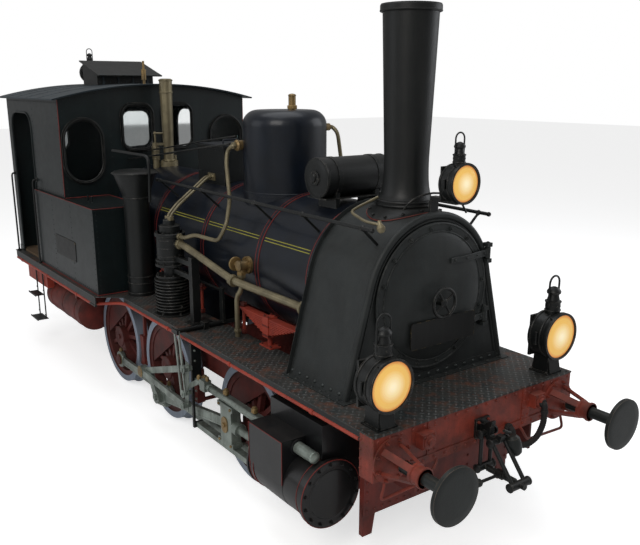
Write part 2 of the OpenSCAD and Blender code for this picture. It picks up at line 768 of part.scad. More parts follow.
module safety_valve() color("#7a7152") difference() {
    translate([-1375, 0, 0]) {
        translate([0, 0, 2400]) cylinder(h = 200, r = 105);
        translate([0, 0, 2590]) cylinder(h = 958, r1 = 60, r2 = 76);
        translate([-40, -150, 2400]) cylinder(h = 420, r = 38);
        translate([-60, 100, 2400]) cylinder(h = 260, r = 26);
        block([-60, 20], [-160, 0], [2790, 2815]);
    }
    boiler_seat([-1700, -1000]);
}

reservoir_x = 2110;
reservoir_z = 2748;

module air_reservoir() color("#1d1f20") difference() {
    union() {
        along_y([-345, 345], 163, reservoir_x, reservoir_z);
        along_y([-362, 362], 60, reservoir_x, reservoir_z);
        for (y = [-230, 190]) block([reservoir_x - 120, reservoir_x + 120], [y, y + 40], [2350, 2700]);
    }
    boiler_seat([1900, 2390]);
    smokebox_seat([2390, 2500]);
}

pump_x = 340;
pump_y = -840;
pump_flange_x = 150;
exhaust_y = -820;
exhaust_z = 1989;
supply_y = -815;
supply_z = 2062;

module air_pump() color("#1b1c1e") translate([pump_x, pump_y, 0]) {
    translate([0, 0, board_z]) cylinder(h = 40, r = 120);
    for (i = [0 : 10]) translate([0, 0, board_z + 40 + 31 * i]) cylinder(h = 14, r = 168);
    translate([0, 0, board_z + 40]) cylinder(h = 336, r = 135);
    translate([0, 0, board_z + 376]) cylinder(h = 150, r = 76);
    translate([0, 0, board_z + 516]) cylinder(h = 310, r = 134);
    translate([0, 0, board_z + 826]) cylinder(h = 60, r = 100);
    translate([0, 0, board_z + 880]) cylinder(h = 70, r = 58);
    // Flanges where the exhaust and steam pipes leave
    along_x([0, pump_flange_x], 46, exhaust_y - pump_y, exhaust_z);
    along_x([0, pump_flange_x], 28, supply_y - pump_y, supply_z);
    // Bracket column ahead of the pump, with arms that hold it
    block([425, 490], [-22, 58], [board_z, board_z + 650]);
    block([380, 535], [-60, 160], [board_z, board_z + 16]);
    for (z = [430, 560]) block([50, 430], [-18, 18], [board_z + z, board_z + z + 45]);
}

clack_x = 1460;
clack_z = 1936;
clack_y = 690;
valve_x = 960;
valve_z = 2944;
valve_face_y = 425;
left_outlet = [1290, 400, 3101];

module clack_valve() {
    difference() {
        along_y([boiler_r - 30, 640], 78, clack_x, clack_z);
        boiler_seat([clack_x - 90, clack_x + 90]);
    }
    along_y([630, clack_y + 30], 46, clack_x, clack_z);
    translate([clack_x, clack_y, clack_z - 76]) cylinder(h = 60, r = 36);
}

module boiler_valves() color("#9a8450") {
    both_sides() clack_valve();
    // Handwheel of the right-hand valve, and the inlet of the left-hand one
    along_x([clack_x - 96, clack_x], 18, -clack_y, clack_z);
    along_x([clack_x - 112, clack_x - 95], 58, -clack_y, clack_z);
    translate([clack_x, clack_y, clack_z]) cylinder(h = 84, r = 30);
    difference() {
        union() {
            along_y([-valve_face_y, -250], 45, valve_x, valve_z);
            along_y([250, left_outlet[1]], 34, left_outlet[0], left_outlet[2]);
        }
        translate([dome_x, 0, 2000]) cylinder(h = 2000, r = dome_r + seat_gap);
    }
    // Small valve on the dome's top
    translate([dome_x + 40, 60, dome_top_z + seat_gap]) cylinder(h = 130, r = 34);
}

module steam_pipes() color("#8f7f5e") {
    start_x = pump_x + pump_flange_x + seat_gap;
    // Exhaust pipe from the pump into the smokebox's rear plate
    tube([[start_x, exhaust_y, exhaust_z], [620, exhaust_y, exhaust_z], [1446, -768, 1810],
          [2240, -655, 1757], [smokebox_rear_x, -655, 1757]], 34, c = 90);
    // Steam pipe from the valve on the dome to the pump
    tube([[valve_x, -valve_face_y - seat_gap, valve_z], [valve_x, -464, valve_z], [872, -466, 2890],
          [925, -510, 2790], [1110, -588, 2471], [1215, -690, 2270], [1110, -722, 2104],
          [762, -780, 2116], [600, supply_y, supply_z], [start_x, supply_y, supply_z]], 19);
    // Feed pipes from below the running board to the clack valves
    both_sides() tube([[clack_x, clack_y, clack_z - 76 - seat_gap], [clack_x, clack_y, 1720],
                       [1385, 700, 1640], [1385, 700, board_z + seat_gap]], 24);
    // Steam pipe from the dome to the left-hand valve
    tube([left_outlet + [0, seat_gap, 0], [left_outlet[0], 440, left_outlet[2]], [1350, 458, 3050],
          [1335, 520, 2760], [1335, 596, 2440], [1345, clack_y, 2200], [clack_x, clack_y, 2120],
          [clack_x, clack_y, clack_z + 84 + seat_gap]], 19);
}

filler_x = -528;
filler_y = 804;

module water_fillers() color("#121314") both_sides() translate([filler_x, filler_y, 0]) {
    translate([0, 0, board_z]) cylinder(h = 30, r = 145);
    translate([0, 0, board_z]) cylinder(h = 1070, r = 136);
    translate([0, 0, board_z + 1069]) cylinder(h = 260, r1 = 136, r2 = 228);
    translate([0, 0, board_z + 1320]) cylinder(h = 16, r = 235);
}

// Points on the rail beside the boiler, which draws in towards the smokebox
rail_x = [filler_x + 243, 3110];
rail_y = [655, 602];
rail_z = [2524, 2496];
function rail_at(x) = let (t = (x - rail_x[0]) / (rail_x[1] - rail_x[0]))
    [x, rail_y[0] + t * (rail_y[1] - rail_y[0]), rail_z[0] + t * (rail_z[1] - rail_z[0])];

module handrails() color("#3a3d3f") both_sides() {
    bar(rail_at(rail_x[0]), rail_at(rail_x[1]), 15);
    difference() {
        for (x = [-230, 650, 1590, 2290, 3020]) bar([x, 470, 2260], rail_at(x), 11);
        boiler_seat([-600, smokebox_rear_x]);
        smokebox_seat([smokebox_rear_x, smokebox_front_x + 50]);
    }
    // Handles beside the doorway, from the running board up to the cab's side
    for (x = [door_front_x + 45, door_rear_x - 60])
        tube([[x, 1262, board_z + seat_gap], [x, 1262, 2330], [x, cab_half_w + seat_gap, 2330]], 12);
}

// ---- bunkers and cab ----

module bunker() {
    block([door_front_x, bunker_front_x], [bunker_inner_y, bunker_half_w], [board_z, bunker_top_z]);
    for (x = [-1330, -1200]) block([x - 8, x + 8], [1040, 1056], [bunker_top_z, bunker_top_z + 70]);
}

module bunker_right() color("#1b2322") on_side(-1) bunker();

module bunker_left() color("#1b2322") on_side(1) bunker();

// Everything below the roof plate, as one long solid to cut the walls with
module under_roof(gap = 0.3) {
    along_x([cab_rear_x - 200, cab_front_x + 200], roof_r - roof_t - gap, 0, roof_crown_z - roof_r);
}

module cab_end_wall(x) {
    intersection() {
        block(x, [-cab_half_w, cab_half_w], [board_z, roof_crown_z]);
        under_roof($fn = 360);
    }
}

outer_window = [440, 700, 219];
inner_window = [370, 507, 110];
rear_window = [420, 520, 120];
outer_window_place = [940, 2741];
inner_window_place = [262, 2994];
rear_window_place = [620, 2860];

module cab_front() color("#1a2222") difference() {
    cab_end_wall([cab_front_x - cab_wall, cab_front_x]);
    for (s = [-1, 1]) {
        cut_x = [cab_front_x - cab_wall - 1, cab_front_x + 1];
        window_x(cut_x, s * outer_window_place[0], outer_window_place[1],
                 outer_window[0], outer_window[1], outer_window[2]);
        window_x(cut_x, s * inner_window_place[0], inner_window_place[1],
                 inner_window[0], inner_window[1], inner_window[2]);
        // Passage of the bunkers
        block(cut_x, s > 0 ? [bunker_inner_y - 1, 1300] : [-1300, 1 - bunker_inner_y],
              [board_z - 1, bunker_top_z + seat_gap]);
    }
    along_x([cab_front_x - 100, cab_front_x + 100], boiler_r + 1, 0, boiler_z);
    block([cab_front_x - 100, cab_front_x + 100], [-boiler_r - 1, boiler_r + 1], [board_z - 1, boiler_z]);
}

module cab_rear() color("#1a2222") difference() {
    cab_end_wall([cab_rear_x, cab_rear_x + cab_wall]);
    for (s = [-1, 1])
        window_x([cab_rear_x - 1, cab_rear_x + cab_wall + 1], s * rear_window_place[0],
                 rear_window_place[1], rear_window[0], rear_window[1], rear_window[2]);
}

module cab_side() {
    intersection() {
        difference() {
            block([cab_rear_x + cab_wall, cab_front_x - cab_wall], [cab_half_w - cab_wall, cab_half_w],
                  [board_z, roof_crown_z]);
            block([door_rear_x, door_front_x], [cab_half_w - 50, cab_half_w + 1],
                  [board_z - 1, door_top_z - 200]);
            block([door_rear_x + 200, door_front_x - 200], [cab_half_w - 50, cab_half_w + 1],
                  [board_z - 1, door_top_z]);
            for (x = [door_rear_x + 200, door_front_x - 200])
                along_y([cab_half_w - 50, cab_half_w + 1], 200, x, door_top_z - 200);
            block([door_front_x - 0.5, cab_front_x], [cab_half_w - 50, cab_half_w + 1],
                  [board_z - 1, bunker_top_z + seat_gap]);
        }
        under_roof($fn = 360);
    }
}

module cab_side_right() color("#1a2222") on_side(-1) cab_side();

module cab_side_left() color("#1a2222") on_side(1) cab_side();

module cab_floor() color("#2e2a26") {
    z = [board_z, board_z + floor_t];
    inner = cab_half_w - cab_wall;
    block([cab_rear_x + cab_wall, door_front_x - 1], [-inner, inner], z);
    block([door_front_x - 2, -1961], [1 - bunker_inner_y, bunker_inner_y - 1], z);
}

module cab_roof() color("#1d2426") intersection() {
    difference() {
        along_x([cab_rear_x - 70, cab_front_x + 95], roof_r, 0, roof_crown_z - roof_r, $fn = 360);
        along_x([cab_rear_x - 80, cab_front_x + 105], roof_r - roof_t, 0, roof_crown_z - roof_r, $fn = 360);
    }
    block([cab_rear_x - 80, cab_front_x + 105], [-roof_half_w, roof_half_w], [eave_z - 40, roof_crown_z + 1]);
}

module cab_windows() color("#8fa3a8") {
    pane_x = [cab_front_x - cab_wall + 4, cab_front_x - cab_wall + 8];
    for (s = [-1, 1]) {
        window_x(pane_x, s * outer_window_place[0], outer_window_place[1],
                 outer_window[0], outer_window[1], outer_window[2]);
        window_x(pane_x, s * inner_window_place[0], inner_window_place[1],
                 inner_window[0], inner_window[1], inner_window[2]);
        window_x([cab_rear_x + 4, cab_rear_x + 8], s * rear_window_place[0],
                 rear_window_place[1], rear_window[0], rear_window[1], rear_window[2]);
    }
}

vent_x = [-3060, -2560];
vent_half_w = 380;
lid_half_w = 430;

module roof_ventilator() color("#1d2426") difference() {
    union() {
        difference() {
            block(vent_x, [-vent_half_w, vent_half_w], [3400, 3780]);
            block(vent_x + [20, -20], [20 - vent_half_w, vent_half_w - 20], [3560, 3800]);
            translate([-2380, -500, 3590]) rotate([0, 16, 0]) translate([-1200, 0, 0]) cube([1300, 1000, 400]);
        }
        // Sloping lid
        translate([-2380, -lid_half_w, 3590]) rotate([0, 16, 0]) translate([-690, 0, 0])
            cube([690, 2 * lid_half_w, 14]);
    }
    along_x([-4000, -1000], roof_r + seat_gap, 0, roof_crown_z - roof_r, $fn = 360);
}

whistle_x = -1985;

module whistle() color("#9a8450") difference() {
    union() {
        translate([whistle_x, 0, 3450]) cylinder(h = 100, r = 16);
        translate([whistle_x, 0, 3545]) cylinder(h = 125, r = 30);
        translate([whistle_x, 0, 3669]) cylinder(h = 100, r = 14);
    }
    along_x([-4000, -1000], roof_r + seat_gap, 0, roof_crown_z - roof_r, $fn = 360);
}

module cab_controls() color("#6d4a33") {
    // Regulator, gauges, firehole door and pipes on the boiler's back
    along_x([-2020, -1960.3], 40, 0, 2250);
    block([-2040, -2010], [-20, 20], [2000, 2330]);
    along_x([-1990, -1960.3], 170, 0, 1700);
    for (y = [-300, 300]) along_x([-1995, -1960.3], 70, y, 2380);
    for (y = [-200, 200]) bar([-1990, y, 2000], [-1990, y, 2300], 22);
    for (y = [-200, 200]) for (z = [2020, 2280]) along_x([-1995, -1960.3], 16, y, z);
    // Reversing lever in its quadrant
    block([-2500, -2100], [-640, -615], [board_z + floor_t, 1700]);
    bar([-2300, -600, 1500], [-2420, -600, 2150], 18);
    along_y([-616, -585], 20, -2300, 1500);
}

// ---- lamps ----

lamp_r = 174;

module lamp(x, y, z, r) {
    k = r / lamp_r;
    difference() {
        union() {
            along_x([x - 190 * k, x - 8], r + 2, y, z);
            along_x([x - 40, x], r + 16, y, z);
        }
        along_x([x - 14, x + 1], r, y, z);
    }
    block([x - 205 * k, x - 185 * k], [y - 0.8 * r, y + 0.8 * r], [z - r, z + 0.9 * r]);
    translate([x - 105 * k, y, z + r - 10]) {
        cylinder(h = 110 * k, r = 58 * k);
        translate([0, 0, 100 * k]) cylinder(h = 70 * k, r = 36 * k);
        translate([0, 0, 170 * k]) cylinder(h = 20 * k, r = 46 * k);
        // Wire loop to lift it by
        translate([0, 0, 250 * k]) rotate([90, 0, 90])
            rotate_extrude(angle = 180) translate([58 * k, 0]) circle(r = 8 * k, $fn = 16);
        for (s = [-1, 1]) bar([0, s * 58 * k, 60 * k], [0, s * 58 * k, 250 * k], 8 * k);
    }
}

module platform_lamps() color("#191b1c") both_sides() {
    lamp(3696, 878, 1578, lamp_r);
    block([3500, 3640], [810, 946], [board_z, 1430]);
    block([3480, 3660], [790, 966], [board_z, board_z + 14]);
}

top_lamp = [3428, 0, 2808, 131];

module smokebox_lamp() color("#191b1c") {
    lamp(top_lamp[0], top_lamp[1], top_lamp[2], top_lamp[3]);
    block([smokebox_front_x - 24, top_lamp[0] - 60], [-30, 30], [2655, 2690]);
    difference() {
        block([smokebox_front_x - 24, smokebox_front_x - 4], [-40, 40], [2500, 2660]);
        smokebox_seat([smokebox_front_x - 100, smokebox_front_x + 100]);
    }
}

module rear_lamp() color("#191b1c") mirror([1, 0, 0]) {
    lamp(3890, 0, 3650, 122);
    difference() {
        block([3720, 3780], [-60, 60], [3400, 3650]);
        along_x([3000, 4100], roof_r + seat_gap, 0, roof_crown_z - roof_r, $fn = 360);
    }
}

module lamp_glasses() color("#f2c46a") {
    both_sides() along_x([3684, 3694], lamp_r - 1, 878, 1578);
    along_x([top_lamp[0] - 12, top_lamp[0] - 2], top_lamp[3] - 1, top_lamp[1], top_lamp[2]);
    mirror([1, 0, 0]) along_x([3878, 3888], 121, 0, 3650);
}

frame_plates();
front_buffer_beam();
rear_buffer_beam();
running_board();
air_tanks();
cylinder_right();
cylinder_left();
slide_bars_right();
slide_bars_left();
valve_gear_right();
valve_gear_left();
reversing_shaft();
leaf_springs();
brake_gear();
buffer_housings();
buffer_heads();
screw_couplings();
brake_hoses();
cab_steps();
boiler();
firebox();
smokebox();
chimney();
dome();
sandbox();
safety_valve();
air_reservoir();
air_pump();
boiler_valves();
steam_pipes();
water_fillers();
handrails();
bunker_right();
bunker_left();
cab_front();
cab_side_right();
cab_side_left();
cab_rear();
cab_floor();
cab_roof();
cab_windows();
roof_ventilator();
whistle();
cab_controls();
platform_lamps();
smokebox_lamp();
rear_lamp();
lamp_glasses();
smokebox_door();
wheelset_front();
wheelset_driving();
wheelset_rear();
coupling_rod_right();
coupling_rod_left();
connecting_rod_right();
connecting_rod_left();
crosshead_right();
crosshead_left();
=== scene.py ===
"""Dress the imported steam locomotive: its paint, bare metal and small fittings.

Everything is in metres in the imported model's own frame: +X forward, +Y to the
engine's left, +Z up, with the origin on the floor midway between the buffers.
"""
from __future__ import annotations

import json
import logging
from dataclasses import dataclass
from enum import Enum
from functools import lru_cache
from math import cos, pi, radians, sin, tau
from typing import Any

import bmesh
import bpy
import numpy as np
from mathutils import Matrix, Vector

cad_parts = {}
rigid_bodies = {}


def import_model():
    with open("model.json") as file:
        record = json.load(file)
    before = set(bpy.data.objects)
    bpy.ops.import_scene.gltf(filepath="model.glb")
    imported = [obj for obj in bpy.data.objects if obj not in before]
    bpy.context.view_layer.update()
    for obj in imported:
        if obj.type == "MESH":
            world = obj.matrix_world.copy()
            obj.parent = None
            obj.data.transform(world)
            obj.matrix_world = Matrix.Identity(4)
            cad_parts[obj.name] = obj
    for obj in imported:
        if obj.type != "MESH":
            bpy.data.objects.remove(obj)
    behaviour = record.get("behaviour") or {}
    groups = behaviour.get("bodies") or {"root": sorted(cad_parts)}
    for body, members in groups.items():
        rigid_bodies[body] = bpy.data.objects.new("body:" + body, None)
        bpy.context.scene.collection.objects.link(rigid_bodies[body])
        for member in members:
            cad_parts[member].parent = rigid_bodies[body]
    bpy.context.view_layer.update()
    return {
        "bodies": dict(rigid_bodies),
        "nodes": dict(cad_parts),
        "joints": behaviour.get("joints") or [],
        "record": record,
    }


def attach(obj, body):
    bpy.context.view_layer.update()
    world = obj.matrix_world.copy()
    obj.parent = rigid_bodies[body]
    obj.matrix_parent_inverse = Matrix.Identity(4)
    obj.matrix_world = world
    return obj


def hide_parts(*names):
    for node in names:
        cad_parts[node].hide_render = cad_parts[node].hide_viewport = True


LOG = logging.getLogger("locomotive")
SIDES = (-1.0, 1.0)

# Sizes used in several places, in metres
EDGE_BEVEL = 0.003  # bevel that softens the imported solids
BOARD_TOP = 1.2605  # just over the running board
FOOT_PLATE_TOP = 1.274  # top of the plates that stand on the board
CAB_RIVET = 0.0065  # rivet head on the cab and bunkers
CAB_PITCH = 0.075  # from rivet to rivet on the cab
BUNKER_PITCH = 0.06  # from rivet to rivet on the bunkers
CLACK_X, CLACK_Y, CLACK_Z = 1.46, 0.69, 1.936  # clack valves beside the barrel

Colour = tuple[float, float, float]
Corner = tuple[float, float, float]
Points = np.ndarray


def srgb(red: float, green: float, blue: float) -> Colour:
    """Turn a colour of 0 to 255 a channel into linear light.

    Args:
        red: Red, 0 to 255.
        green: Green, 0 to 255.
        blue: Blue, 0 to 255.

    Returns:
        The three linear channels, 0 to 1.
    """
    values = np.array((red, green, blue)) / 255
    linear = np.where(values <= 0.04045, values / 12.92, ((values + 0.055) / 1.055) ** 2.4)
    return tuple(float(v) for v in linear)


# ---------------------------------------------------------------- surfaces


@dataclass
class Surface:
    """Points and faces of one mesh.

    Attributes:
        points: One row of x, y, z for each point.
        faces: The corners of each face, as point numbers.
    """

    points: Points
    faces: list[list[int]]

    def mirrored(self) -> Surface:
        """Return the surface on the engine's other side."""
        return Surface(self.points * (1, -1, 1), [face[::-1] for face in self.faces])

    def moved(self, *offset: float) -> Surface:
        """Return the surface moved by an offset."""
        return Surface(self.points + np.array(offset), self.faces)

    def both(self) -> Surface:
        """Return the surface together with its mirror image."""
        return join([self, self.mirrored()])


def join(surfaces: list[Surface]) -> Surface:
    """Put several surfaces into one mesh.

    Args:
        surfaces: The surfaces.

    Returns:
        One surface with all their points and faces.
    """
    faces: list[list[int]] = []
    start = 0
    for surface in surfaces:
        faces += [[start + i for i in face] for face in surface.faces]
        start += len(surface.points)
    return Surface(np.concatenate([s.points for s in surfaces]), faces)


def pairs(parts: list[Surface]) -> list[Surface]:
    """Give each surface a twin on the other side of the centre line.

    Args:
        parts: Surfaces on one side.

    Returns:
        The same surfaces, each joined with its mirror image.
    """
    return [part.both() for part in parts]


def grid(points: Points, wrap: bool = False, loop: bool = False, caps: bool = False) -> Surface:
    """Join a grid of points into quads: point (u, v) meets (u + 1, v + 1).

    Args:
        points: Array of u rows by v columns of x, y, z.
        wrap: Whether the last column joins the first.
        loop: Whether the last row joins the first.
        caps: Whether the first and last rows are closed with a face.

    Returns:
        The surface.
    """
    rows, columns = points.shape[:2]
    u = np.arange(rows if loop else rows - 1)[:, None]
    v = np.arange(columns if wrap else columns - 1)[None, :]
    u2, v2 = (u + 1) % rows, (v + 1) % columns
    corners = [u * columns + v, u * columns + v2, u2 * columns + v2, u2 * columns + v]
    faces = np.stack(np.broadcast_arrays(*corners), -1).reshape(-1, 4).tolist()
    if caps:
        last = (rows - 1) * columns
        faces += [list(range(columns))[::-1], list(range(last, last + columns))]
    return Surface(points.reshape(-1, 3), faces)


def frame_of(direction: Any) -> tuple[Points, Points, Points]:
    """Find two unit vectors square to a direction.

    Args:
        direction: The direction, of any length.

    Returns:
        Side, up and the unit direction, as a right-handed set.
    """
    along = np.array(direction, float)
    along = along / np.linalg.norm(along)
    helper = np.array((0, 0, 1.0)) if abs(along[2]) < 0.9 else np.array((1.0, 0, 0))
    side = np.cross(helper, along)
    side /= np.linalg.norm(side)
    return side, np.cross(along, side), along


def lathe(
    profile: Any, centre: Any, axis: Any = (0, 0, 1), sides: int = 48, turn: float = tau
) -> Surface:
    """Turn a profile about an axis: centre + along * axis + out * (cos, sin).

    Args:
        profile: Pairs of distance along the axis and distance out from it.
        centre: Where the axis starts.
        axis: Direction of the axis.
        sides: Number of sides around.
        turn: How far round it goes.

    Returns:
        The turned surface, closed around where the turn is whole.
    """
    whole = turn >= tau
    angle = np.linspace(0, turn, sides, endpoint=not whole)
    side, up, along = frame_of(axis)
    rows = np.array(profile, float)
    ring = np.cos(angle)[:, None] * side + np.sin(angle)[:, None] * up
    points = (
        np.array(centre) + rows[:, 0, None, None] * along + rows[:, 1, None, None] * ring[None]
    )
    return grid(points, wrap=whole)


def bend(points: Any, reach: float, steps: int = 5) -> Points:
    """Round a path's corners with a quadratic curve over a reach on each side.

    Args:
        points: The corners of the path.
        reach: How far from each corner the curve starts and ends.
        steps: Number of points on each curve.

    Returns:
        The points of the rounded path.
    """
    path = np.array(points, float)
    out = [path[:1]]
    t = np.linspace(0, 1, steps)[:, None]
    for before, corner, after in zip(path[:-2], path[1:-1], path[2:]):
        one, two = before - corner, after - corner
        first = corner + one * min(reach / np.linalg.norm(one), 0.45)
        last = corner + two * min(reach / np.linalg.norm(two), 0.45)
        out.append((1 - t) ** 2 * first + 2 * t * (1 - t) * corner + t**2 * last)
    return np.concatenate(out + [path[-1:]])


def sweep(path: Points, outline: Points, closed: bool = False, radii: Any = 1.0) -> Surface:
    """Carry an outline along a path: path(u) + side(u) * a(v) + up(u) * b(v).

    The pair of square directions is turned no more than the path turns, so the
    outline doesn't twist.

    Args:
        path: The points of the path.
        outline: Pairs of distances to the side and up, once around.
        closed: Whether the path closes on itself.
        radii: Scale of the outline, one number or one for each point.

    Returns:
        The carried surface, capped where the path is open.
    """
    path = np.array(path, float)
    ahead = np.roll(path, -1, 0) - path
    behind = path - np.roll(path, 1, 0)
    if not closed:
        ahead[-1], behind[0] = behind[-1], ahead[0]
    tangent = ahead / np.linalg.norm(ahead, axis=1)[:, None]
    tangent = tangent + behind / np.linalg.norm(behind, axis=1)[:, None]
    tangent /= np.linalg.norm(tangent, axis=1)[:, None]
    side = frame_of(tangent[0])[0]
    carried = []
    for direction in tangent:
        side = side - direction * side.dot(direction)
        side = side / np.linalg.norm(side)
        carried.append(side)
    sides = np.array(carried)
    ups = np.cross(tangent, sides)
    scale = np.broadcast_to(np.array(radii, float), (len(path),))[:, None, None]
    shape = sides[:, None] * outline[None, :, :1] + ups[:, None] * outline[None, :, 1:]
    return grid(path[:, None] + shape * scale, wrap=True, loop=closed, caps=not closed)


def circle(radius: float, sides: int = 12) -> Points:
    """Return the outline of a circle: radius * (cos, sin)."""
    angle = np.arange(sides) * tau / sides
    return radius * np.stack((np.cos(angle), np.sin(angle)), -1)


def tube(path: Any, radius: float, sides: int = 12, reach: float = 0.0, **how: Any) -> Surface:
    """Carry a circle along a path, its corners rounded where a reach is given."""
    points = bend(path, reach) if reach else np.array(path, float)
    return sweep(points, circle(radius, sides), **how)


def ring(centre: Any, axis: Any, radius: float, thick: float, sides: int = 40) -> Surface:
    """Make a round ring: a circle carried round a circle.

    Args:
        centre: Middle of the ring.
        axis: Direction that the ring faces.
        radius: Radius to the middle of the wire.
        thick: Radius of the wire.
        sides: Number of steps round the ring.

    Returns:
        The ring.
    """
    side, up, _ = frame_of(axis)
    flat = circle(radius, sides)
    path = np.array(centre) + flat[:, :1] * side + flat[:, 1:] * up
    return sweep(path, circle(thick, 8), closed=True)


def prism(outline: Any, offset: Any) -> Surface:
    """Push a flat outline along an offset, closed at both ends."""
    flat = np.array(outline, float)
    return grid(np.stack((flat, flat + np.array(offset))), wrap=True, caps=True)


def block(low: Any, high: Any) -> Surface:
    """Make the box between two corners."""
    (x0, y0, z0), (x1, y1, z1) = low, high
    outline = [(x0, y0, z0), (x1, y0, z0), (x1, y1, z0), (x0, y1, z0)]
    return prism(outline, (0, 0, z1 - z0))


def rounded(width: float, height: float, radius: float, steps: int = 7) -> Points:
    """Return the outline of a rectangle with round corners, centred on zero."""
    radius = min(radius, width / 2, height / 2)
    angle = np.linspace(0, pi / 2, steps)
    quarter = radius * np.stack((np.cos(angle), np.sin(angle)), -1)
    quarter += (width / 2 - radius, height / 2 - radius)
    flip = quarter[::-1]
    return np.concatenate(
        (quarter, flip * (-1, 1), quarter * (-1, -1), flip * (1, -1))
    )


class Head(Enum):
    """The shapes of a fastener's head, as rows of height and radius."""

    RIVET = ((0.0, 1.0), (0.35, 0.86), (0.62, 0.5), (0.7, 0.0))
    BOLT = ((0.0, 1.0), (0.75, 1.0), (0.95, 0.84), (0.95, 0.0))
    STUD = ((0.0, 1.0), (0.8, 1.0), (0.8, 0.55), (1.7, 0.5), (1.8, 0.0))


def studs(
    places: Any, normals: Any, size: float, head: Head = Head.RIVET, tall: float = 1.0
) -> Surface:
    """Set one fastener at each place: place + height * normal + radius * ring.

    Args:
        places: One x, y, z for each fastener.
        normals: The direction each one faces, or one direction for all.
        size: Radius of the head.
        head: Shape of the head.
        tall: Scale of the head's height.

    Returns:
        All the heads as one surface.
    """
    at = np.array(places, float).reshape(-1, 3)
    facing = np.broadcast_to(np.array(normals, float), at.shape)
    facing = facing / np.linalg.norm(facing, axis=1)[:, None]
    helper = np.where(np.abs(facing[:, 2:]) < 0.9, (0.0, 0.0, 1.0), (1.0, 0.0, 0.0))
    side = np.cross(helper, facing)
    side /= np.linalg.norm(side, axis=1)[:, None]
    up = np.cross(facing, side)
    count = 8 if head is Head.RIVET else 6
    rows = np.array(head.value) * (size * tall, size)
    unit = circle(1.0, count)
    spread = unit[None, :, :1] * side[:, None] + unit[None, :, 1:] * up[:, None]
    points = (
        at[:, None, None]
        + rows[None, :, :1, None] * facing[:, None, None]
        + rows[None, :, 1:, None] * spread[:, None]
    )
    single = grid(points[0], wrap=True).faces
    many = np.array(single)[None] + np.arange(len(at))[:, None, None] * points[0, ..., 0].size
    return Surface(points.reshape(-1, 3), many.reshape(-1, 4).tolist())


def line(start: Any, end: Any, spacing: float, inset: float = 0.0) -> Points:
    """Space points evenly on a line.

    Args:
        start: Where the line starts.
        end: Where the line ends.
        spacing: Distance wanted between points.
        inset: Distance left free at each end.

    Returns:
        The points.
    """
    one, two = np.array(start, float), np.array(end, float)
    length = np.linalg.norm(two - one)
    count = max(2, round((length - 2 * inset) / spacing) + 1)
    t = np.linspace(inset / length, 1 - inset / length, count)[:, None]
    return one + t * (two - one)


def around(
    centre: Any, axis: Any, radius: float, count: int, start: float = 0.0, turn: float = tau
) -> Points:
    """Space points evenly round a circle.

    Args:
        centre: Middle of the circle.
        axis: Direction that the circle faces.
        radius: Radius of the circle.
        count: Number of points.
        start: Angle of the first point.
        turn: How far round they go.

    Returns:
        The points.
    """
    side, up, _ = frame_of(axis)
    angle = start + np.linspace(0, turn, count, endpoint=turn < tau - 1e-6)
    if turn >= tau - 1e-6:
        angle = start + np.arange(count) * tau / count
    return np.array(centre) + radius * (np.cos(angle)[:, None] * side + np.sin(angle)[:, None] * up)


# ---------------------------------------------------------------- materials


class Nodes:
    """Adds shader nodes to a tree and links them."""

    def __init__(self, tree: bpy.types.NodeTree) -> None:
        """Keep the tree and empty it."""
        self.tree = tree
        tree.nodes.clear()

    def add(self, kind: str, inputs: dict[Any, Any] | None = None, **settings: Any) -> Any:
        """Add a node.

        Args:
            kind: Its type, without the "ShaderNode" in front where it has it.
            inputs: Values or other nodes' outputs, by input name or number.
            settings: The node's own settings.

        Returns:
            The node.
        """
        name = kind if kind.startswith("NodeGroup") else f"ShaderNode{kind}"
        node = self.tree.nodes.new(name)
        for key, value in settings.items():
            setattr(node, key, value)
        for key, value in (inputs or {}).items():
            self.put(node.inputs[key], value)
        return node

    def put(self, socket: Any, value: Any) -> None:
        """Give a socket a value, or link an output to it."""
        if isinstance(value, bpy.types.NodeSocket):
            self.tree.links.new(value, socket)
        elif isinstance(value, tuple) and socket.type == "RGBA":
            socket.default_value = (*value, 1.0)
        else:
            socket.default_value = value

    def math(self, operation: str, *values: Any, clamp: bool = False) -> Any:
        """Add a Math node and return its output."""
        node = self.add("Math", dict(enumerate(values)), operation=operation, use_clamp=clamp)
        return node.outputs[0]

    def mix(self, factor: Any, one: Any, two: Any, blend: str = "MIX") -> Any:
        """Blend two colours and return the result."""
        node = self.add("Mix", {0: factor, 6: one, 7: two}, data_type="RGBA", blend_type=blend)
        return node.outputs[2]

    def ramp(self, value: Any, low: float, high: float, to: float = 1.0) -> Any:
        """Map a value from low..high to 0..to, held at both ends."""
        keys = {0: value, 1: low, 2: high, 3: 0.0, 4: to}
        return self.add("MapRange", keys, clamp=True).outputs[0]

    def noise(self, place: Any, scale: float, detail: float = 4.0, rough: float = 0.55) -> Any:
        """Add a noise texture and return its value."""
        keys = {"Vector": place, "Scale": scale, "Detail": detail, "Roughness": rough}
        return self.add("TexNoise", keys).outputs[0]

    def place(self, scale: tuple[float, float, float] = (1, 1, 1)) -> Any:
        """Return Object coordinates, stretched by a scale."""
        where = self.add("TexCoord").outputs["Object"]
        if scale == (1, 1, 1):
            return where
        return self.add("Mapping", {"Vector": where, "Scale": scale}).outputs[0]


class Effect(Enum):
    """The weathering effects that materials share, each a node group; on the rivets and black iron
    the edge mask also carries a painted highlight.
    """

    EDGE_WEAR_AND_HIGHLIGHT = "edge_wear_and_highlight"
    DUST = "dust"
    SPECKLE = "speckle"
    STREAKS = "streaks"
    MOTTLE = "mottle"


